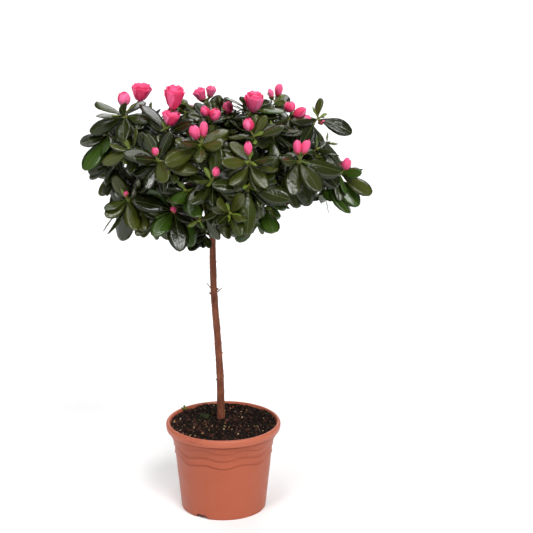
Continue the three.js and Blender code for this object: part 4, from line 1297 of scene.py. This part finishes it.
def leaf_points(frame_of_leaf, length, random, width):
    root, direction, side, face = frame_of_leaf
    width = width * random.between(0.92, 1.1)
    curl, trough, twist, ripple, phase = [random.between(*ends) for ends in LEAF_VARIES]
    top, under = [], []
    for row, share in enumerate(ROW_SHARES):
        half = max(0.45, leaf_width_at(share) * length * width)
        cos, sin = math.cos(twist * share), math.sin(twist * share)
        cross = side * cos + face * sin
        lift = face * cos - side * sin
        blade = limited((share - 0.14) / 0.14) * min(1, (1 - share) / 0.08)
        for column, place in enumerate(LEAF_COLUMNS):
            x = (-1 if column == 2 else 1) * (0.5 - 0.25 * share) if place == "rib" else place * half
            off = abs(x) / half
            swept = share + 0.05 * (abs(x) / max(half, 1)) ** 1.3 * blade
            vein = (0.2 if row % 2 else -0.26) * blade if place in (-0.56, 0.56) else 0
            roll = -0.55 * off ** 3 * blade if place in (-1, 1) else 0
            wave = ripple * math.sin(share * 9 + phase + (1.5 if x > 0 else 0)) * off * blade
            groove = -0.42 * blade if place == "rib" else 0
            bend = -length * (curl * share * share + (0.04 + trough) * (abs(x) / (length * width)) * 0.9)
            spot = root + direction * length * min(swept, 1.0) + cross * x + lift * (bend + vein + roll + wave + groove)
            top.append(spot)
            if place not in (-1, 1):
                thick = 0.9 if share <= 0.08 else 1.0 - 0.4 * share if place == "rib" else 0.42
                under.append(spot - lift * thick)
    return top + under


def draw_leaf(builder, frame_of_leaf, length, random, kind, spray):
    width, greens = LEAF_KINDS[kind]
    upper = random.one_of(greens)
    if kind != "heart" and random() < 0.45:
        upper = spray
    skins = (upper, UNDER, RIB if kind != "heart" else BUD_GREEN, STALK)
    builder.add(leaf_points(frame_of_leaf, length, random, width), LEAF_FACES, [skins[skin] for skin in LEAF_SKINS])


def draw_heart(builder, shoot, seed):
    """Small young leaves close round the tip of a shoot."""
    random = Seeded(seed * 13 + 9001)
    axis = shoot["axis"]
    for i in range(HEART_LEAVES):
        radial = spokes(axis)(shoot["spin"] + 1.1 + i * GOLDEN_ANGLE)
        direction = unit(leaning(axis, radial, random.between(28, 62)) + UP * 0.1)
        length = random.between(9, 19) * shoot["size"]
        draw_leaf(builder, leaf_frame(shoot["tip"] - axis * 1.2, direction, axis), length, random, "heart", MID)


def draw_bud(builder, base, axis, length, width, seed):
    """A pointed bud of overlapping scales."""
    radial = spokes(axis)
    sides, swells = 10, (0.55, 0.9, 1, 0.92, 0.7, 0.38, 0.04)
    rows = len(swells)
    spin = Seeded(seed * 7 + 77)() * TURN
    points = []
    for row, swell in enumerate(swells):
        share = row / (rows - 1)
        for column in range(sides):
            angle = column * TURN / sides
            step = 1 + 0.16 * (((angle + spin) * 2.5 / TURN + share * 0.8) % 1 - 0.5)
            points.append(base + axis * length * share + radial(angle) * (width / 2 * swell * step))
    faces = [*grid_faces(rows, sides), range(sides)[::-1], range((rows - 1) * sides, rows * sides)]
    slots = [SCALE if row in (0, 2) else BUD_GREEN for row in range(rows - 1) for _ in range(sides)]
    builder.add(points, faces, [*slots, SCALE, BUD_GREEN])


# Blossom


def petal_sheet(builder, base, axis, azimuth, petal, profile, twist, random, slot):
    """A petal wrapped round the bloom: a thin closed sheet with one side edge out, the other tucked in."""
    span, reach, tall, lap, flare, ruffle = petal
    radial = spokes(axis)
    rows, columns = 9, 11
    phase = random.between(0, TURN)
    notch = random.between(0.02, 0.08)
    points = []
    for thickness in (0, 0.4):
        for row in range(rows):
            share = row / (rows - 1)
            swell = reach * stops(profile)(share)
            opened = 0.6 + 0.4 * math.sin(min(1, share * 1.5) * math.pi / 2)
            for column in range(columns):
                a = column / (columns - 1) * 2 - 1
                uneven = 0.16 * a ** 4 + notch * (1 + math.cos(5 * a + phase)) / 2
                height = tall * share * (1 - uneven * share ** 2)
                radius = swell + lap * a + flare * share ** 4 + ruffle * share ** 3 * math.sin(7 * a + phase)
                around = radial(azimuth + twist * share + a * span * opened)
                points.append(base + axis * height + around * max(radius - thickness, 0.3))
    sheet = grid_faces(rows, columns, closed=False)
    grid = np.arange(rows * columns).reshape(rows, columns)
    ring = [*grid[0], *grid[1:, -1], *grid[-1, -2::-1], *grid[-2:0:-1, 0]]
    faces = sheet + [tuple(i + grid.size for i in face[::-1]) for face in sheet]
    faces += [(b, a, a + grid.size, b + grid.size) for a, b in zip(ring, ring[1:] + ring[:1])]
    builder.add(points, faces, slot)


def draw_petals(builder, base, axis, width, length, kind, random):
    """A closed core and the rings of petals round it."""
    profile, core, twist, rings = BLOOMS[kind]
    line = bezier(base, base + axis * length * 0.45, base + axis * length * 0.9)
    # The closed core takes slot 2, the darker pink of painted shade
    builder.add(*tube(line, lambda share: width / 2 * core * stops(CORE)(share), 14, 9), 2)
    for number, (count, wide, tall, flare, ruffle) in enumerate(rings):
        spin = random() * TURN
        for i in range(count):
            azimuth = spin + i * TURN / count + random.between(-0.12, 0.12)
            petal = (
                TURN / count * 0.68, width / 2 * wide * random.between(0.96, 1.03),
                length * tall * random.between(0.93, 1.03), width * 0.03, width * flare * random.between(0.4, 1.2),
                ruffle,
            )
            # Slot 2, the painted-shade pink, falls at random on some petals of the outer rings
            slot = random.one_of((0, 1, 0, 2) if number else (0, 1, 0))
            petal_sheet(builder, base, axis, azimuth, petal, profile, twist, random, slot)


def draw_bloom(petals, leaves, twigs, shoot, bloom, seed):
    sideways, up, width, length, kind = bloom
    random = Seeded(seed * 19 + 311)
    tip, heading = shoot["tip"], shoot["axis"]
    middle = tip + vec(sideways, 0, up)
    axis = unit(unit(middle - tip) + UP * 0.8 + heading * 0.4)
    base = middle - axis * length * 0.5
    stalk = bezier(tip - heading, tip + heading * 2, base - axis * 3, base + axis * 0.8)
    twigs.add(*tube(stalk, taper(1.1, 0.9), 7, 5), 1)
    for i in range(CALYX_SCALES):  # small green and brown scales under the bloom
        radial = spokes(axis)(random() * 0.4 + i * TURN / CALYX_SCALES)
        direction = unit(axis * 0.85 + radial * (0.5 if kind != "tiny" else 0.35))
        scale = leaf_frame(base - axis * 1.5, direction, axis)
        slot = SCALE if i in (0, 2) else BUD_GREEN
        leaves.add(leaf_points(scale, random.between(5, 8), random, 0.5), LEAF_FACES, slot)
    draw_petals(petals, base, axis, width, length, kind, random)


# The pieces


def make_limbs():
    builder = Builder()

    def relief(share, angle):
        height = share * trunk_curve.length
        cos, sin = math.cos(angle), math.sin(angle)
        ridges = noise.fractal(Vector((cos * 2.2, sin * 2.2, height * 0.06)) * 1.1, 0.7, 2.2, 4)
        flakes = noise.noise(Vector((cos * 4, sin * 4, height * 0.35)))
        flare = 0.35 * max(0, 1 - share / 0.06) * math.cos(5 * angle + 1)
        return 0.55 * ridges + 0.4 * max(0, flakes) + flare

    line = spline([np.array(TRUNK_LINE[0]) - UP * TRUNK_BURIED, *TRUNK_LINE])

    def radius_at(share):
        along = (share * line.length - TRUNK_BURIED) / trunk_curve.length
        return trunk_radius(along) - 0.9 * limited(1 - along / 0.07)

    builder.add(*tube(line, radius_at, 30, 320, relief), 0)
    for height, azimuth, size in TRUNK_NUBS:
        middle, radius = trunk_at(height)
        way = vec(math.cos(azimuth), math.sin(azimuth), 0.35)
        nub = bezier(middle, *(middle + way * reach for reach in (radius, radius + size * 0.6, radius + size)))
        builder.add(*tube(nub, stops([(0, size), (0.7, size * 0.8), (1, size * 0.35)]), 8, 5), 0)
    for height, way, reach in TRUNK_STUBS:
        middle, _ = trunk_at(height)
        way = unit(vec(*way))
        curve = bezier(middle, middle + way * reach * 0.5, middle + way * reach + UP * 2.5)
        builder.add(*tube(curve, taper(1.1, 0.45), 7, 6), 0)
    trunk = builder.make("trunk_bark", [BARK])
    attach(trunk, "root")
    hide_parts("trunk")

    builder = Builder()
    for number, (_, curve, radius_at) in enumerate(boughs):
        def knots(share, angle):
            place = Vector((math.cos(angle) * 1.6, math.sin(angle) * 1.6, share * 9 + number * 7))
            return 0.32 * noise.fractal(place, 0.7, 2.2, 3)

        builder.add(*tube(curve, radius_at, 14, 40, knots), 0)
    for mass in masses:
        on_trunk = mass["name"] == "trunk_shoot"
        start = trunk_shoot_root if on_trunk else mass["from"] - mass["heading"] * (GAP + 1.0)
        stem = bezier(start, mix(start, mass["to"], 0.5), mass["to"])
        builder.add(*tube(stem, taper(1.85, 1.5), 12, 14), 0)
    piece = builder.make("boughs_bark", [BARK])
    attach(piece, "root")
    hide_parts(*["bough_" + name for name, _, _ in boughs])


def grow_mass(number, mass):
    leaves = Leaves(number)
    shoots = list(enumerate(mass["shoots"], number * 20))
    for _, shoot in shoots:
        place_seen_leaves(leaves, shoot)
    for seed, shoot in shoots:
        grow_rule_leaves(leaves, shoot, seed)
    for k in range(leaves.count):
        leaves.lengths[k] *= DRAWN_SHARE if leaves.kinds[k] == "rule" else 1
        leaves.rows[k] = leaf_rows(leaves.frames[k], leaves.lengths[k], DRAWN_LEAF)
    for grow in (grow_fine_leaves, grow_side_twigs, grow_old_leaves):
        for seed, shoot in shoots:
            grow(leaves, shoot, seed)
    return leaves


def make_crown():
    twigs, petals = Builder(), Builder()
    grown = [grow_mass(number, mass) for number, mass in enumerate(masses)]
    fill_gaps(grown)
    for number, (mass, leaves) in enumerate(zip(masses, grown)):
        builder = Builder()
        random = Seeded(number * 5 + 61)
        sprays = [random.one_of(SPRAY_GREENS) for _ in mass["shoots"]]
        for k in range(leaves.count):
            tips = [np.linalg.norm(leaves.frames[k, 0] - shoot["tip"]) for shoot in mass["shoots"]]
            spray = sprays[int(np.argmin(tips))]
            random = Seeded(number * 1000 + k)
            draw_leaf(builder, leaves.frames[k], leaves.lengths[k], random, leaves.kinds[k], spray)
        for seed, shoot in enumerate(mass["shoots"], number * 20):
            tip, axis, thin = shoot["tip"], shoot["axis"], shoot["size"]
            points, faces = tube(shoot["twig"], taper(1.35 * thin, 1.05 * thin), 8, 14)
            twigs.add(points, faces, [int(face >= 8 * 9) for face in range(len(faces))])
            for twig in shoot["side_twigs"]:
                twigs.add(*tube(twig, taper(0.85 * thin, 0.65 * thin), 7, 6), 1)
            draw_heart(builder, shoot, seed)
            if not shoot["blooms"]:
                draw_bud(builder, tip - axis, axis, 6.5 * thin, 4.2 * thin, seed)
            for b, bloom in enumerate(shoot["blooms"]):
                draw_bloom(petals, builder, twigs, shoot, bloom, seed * 4 + b)
        piece = builder.make("foliage_" + mass["name"], LEAF_MATERIALS)
        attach(piece, "root")
        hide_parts("leaves_" + mass["name"])
    piece = twigs.make("fine_twigs", TWIG_MATERIALS)
    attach(piece, "root")
    piece = petals.make("blossom", PETAL_MATERIALS)
    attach(piece, "root")


def stage_mesh(name, points, faces, nodes):
    mesh = bpy.data.meshes.new(name)
    mesh.from_pydata(points, [], faces)
    mesh.materials.append(nodes.material)
    return in_scene(name, mesh)


def make_stage():
    corners = [(x * FLOOR_REACH, y * FLOOR_REACH, 0) for x, y in ((-1, -1), (1, -1), (1, 1), (-1, 1))]
    floor = stage_mesh("floor", corners, [(0, 1, 2, 3)], Nodes("studio_floor", (0.86, 0.86, 0.86, 1), 0.9, 0.2))
    floor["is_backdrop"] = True

    sides, reach = BACKDROP["sides"], BACKDROP["radius"]
    ring = [(reach * cos, reach * sin) for cos, sin in circle(sides)]
    nodes = Nodes("studio_wall", (0, 0, 0, 1), 1, 0)
    nodes.set("Emission Color", (1, 1, 1, 1))
    nodes.set("Emission Strength", BACKDROP_LIGHT)
    backdrop = stage_mesh(
        "backdrop", [(x, y, z) for z in (BACKDROP["from"], BACKDROP["to"]) for x, y in ring],
        grid_faces(2, sides), nodes,
    )
    backdrop.visible_diffuse = backdrop.visible_glossy = False
    backdrop.visible_transmission = backdrop.visible_shadow = False
    backdrop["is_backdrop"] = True

    world = bpy.data.worlds.new("studio")
    bpy.context.scene.world = world
    world.use_nodes = True
    background = world.node_tree.nodes["Background"]
    background.inputs["Color"].default_value = (1, 1, 1, 1)
    background.inputs["Strength"].default_value = WORLD_LIGHT
    for name, toward, strength, spread in SUNS:
        data = bpy.data.lights.new(name, "SUN")
        data.energy = strength
        data.angle = math.radians(spread)
        in_scene(name, data).rotation_euler = Vector(toward).to_track_quat("Z", "Y").to_euler()

    data = bpy.data.cameras.new("camera")
    data.sensor_width = CAMERA["sensor"]
    data.lens = FOCAL_PIXELS / PHOTO_PIXELS * CAMERA["sensor"]
    data.clip_end = CAMERA["clip_end"]
    camera = in_scene("camera", data)
    camera.location = CAMERA["at"]
    camera.rotation_euler = (math.radians(90 - CAMERA["down"]), 0, math.radians(CAMERA["turn"]))
    bpy.context.scene.camera = camera
    bpy.context.scene.view_settings.view_transform = "Standard"


make_stage()
make_pot()
make_soil()
make_limbs()
make_crown()

bpy.context.view_layer.update()
boxes = {"cad": cad_box, "visual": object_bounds()}
{name: [list(map(float, corner)) for corner in box] for name, box in boxes.items()}
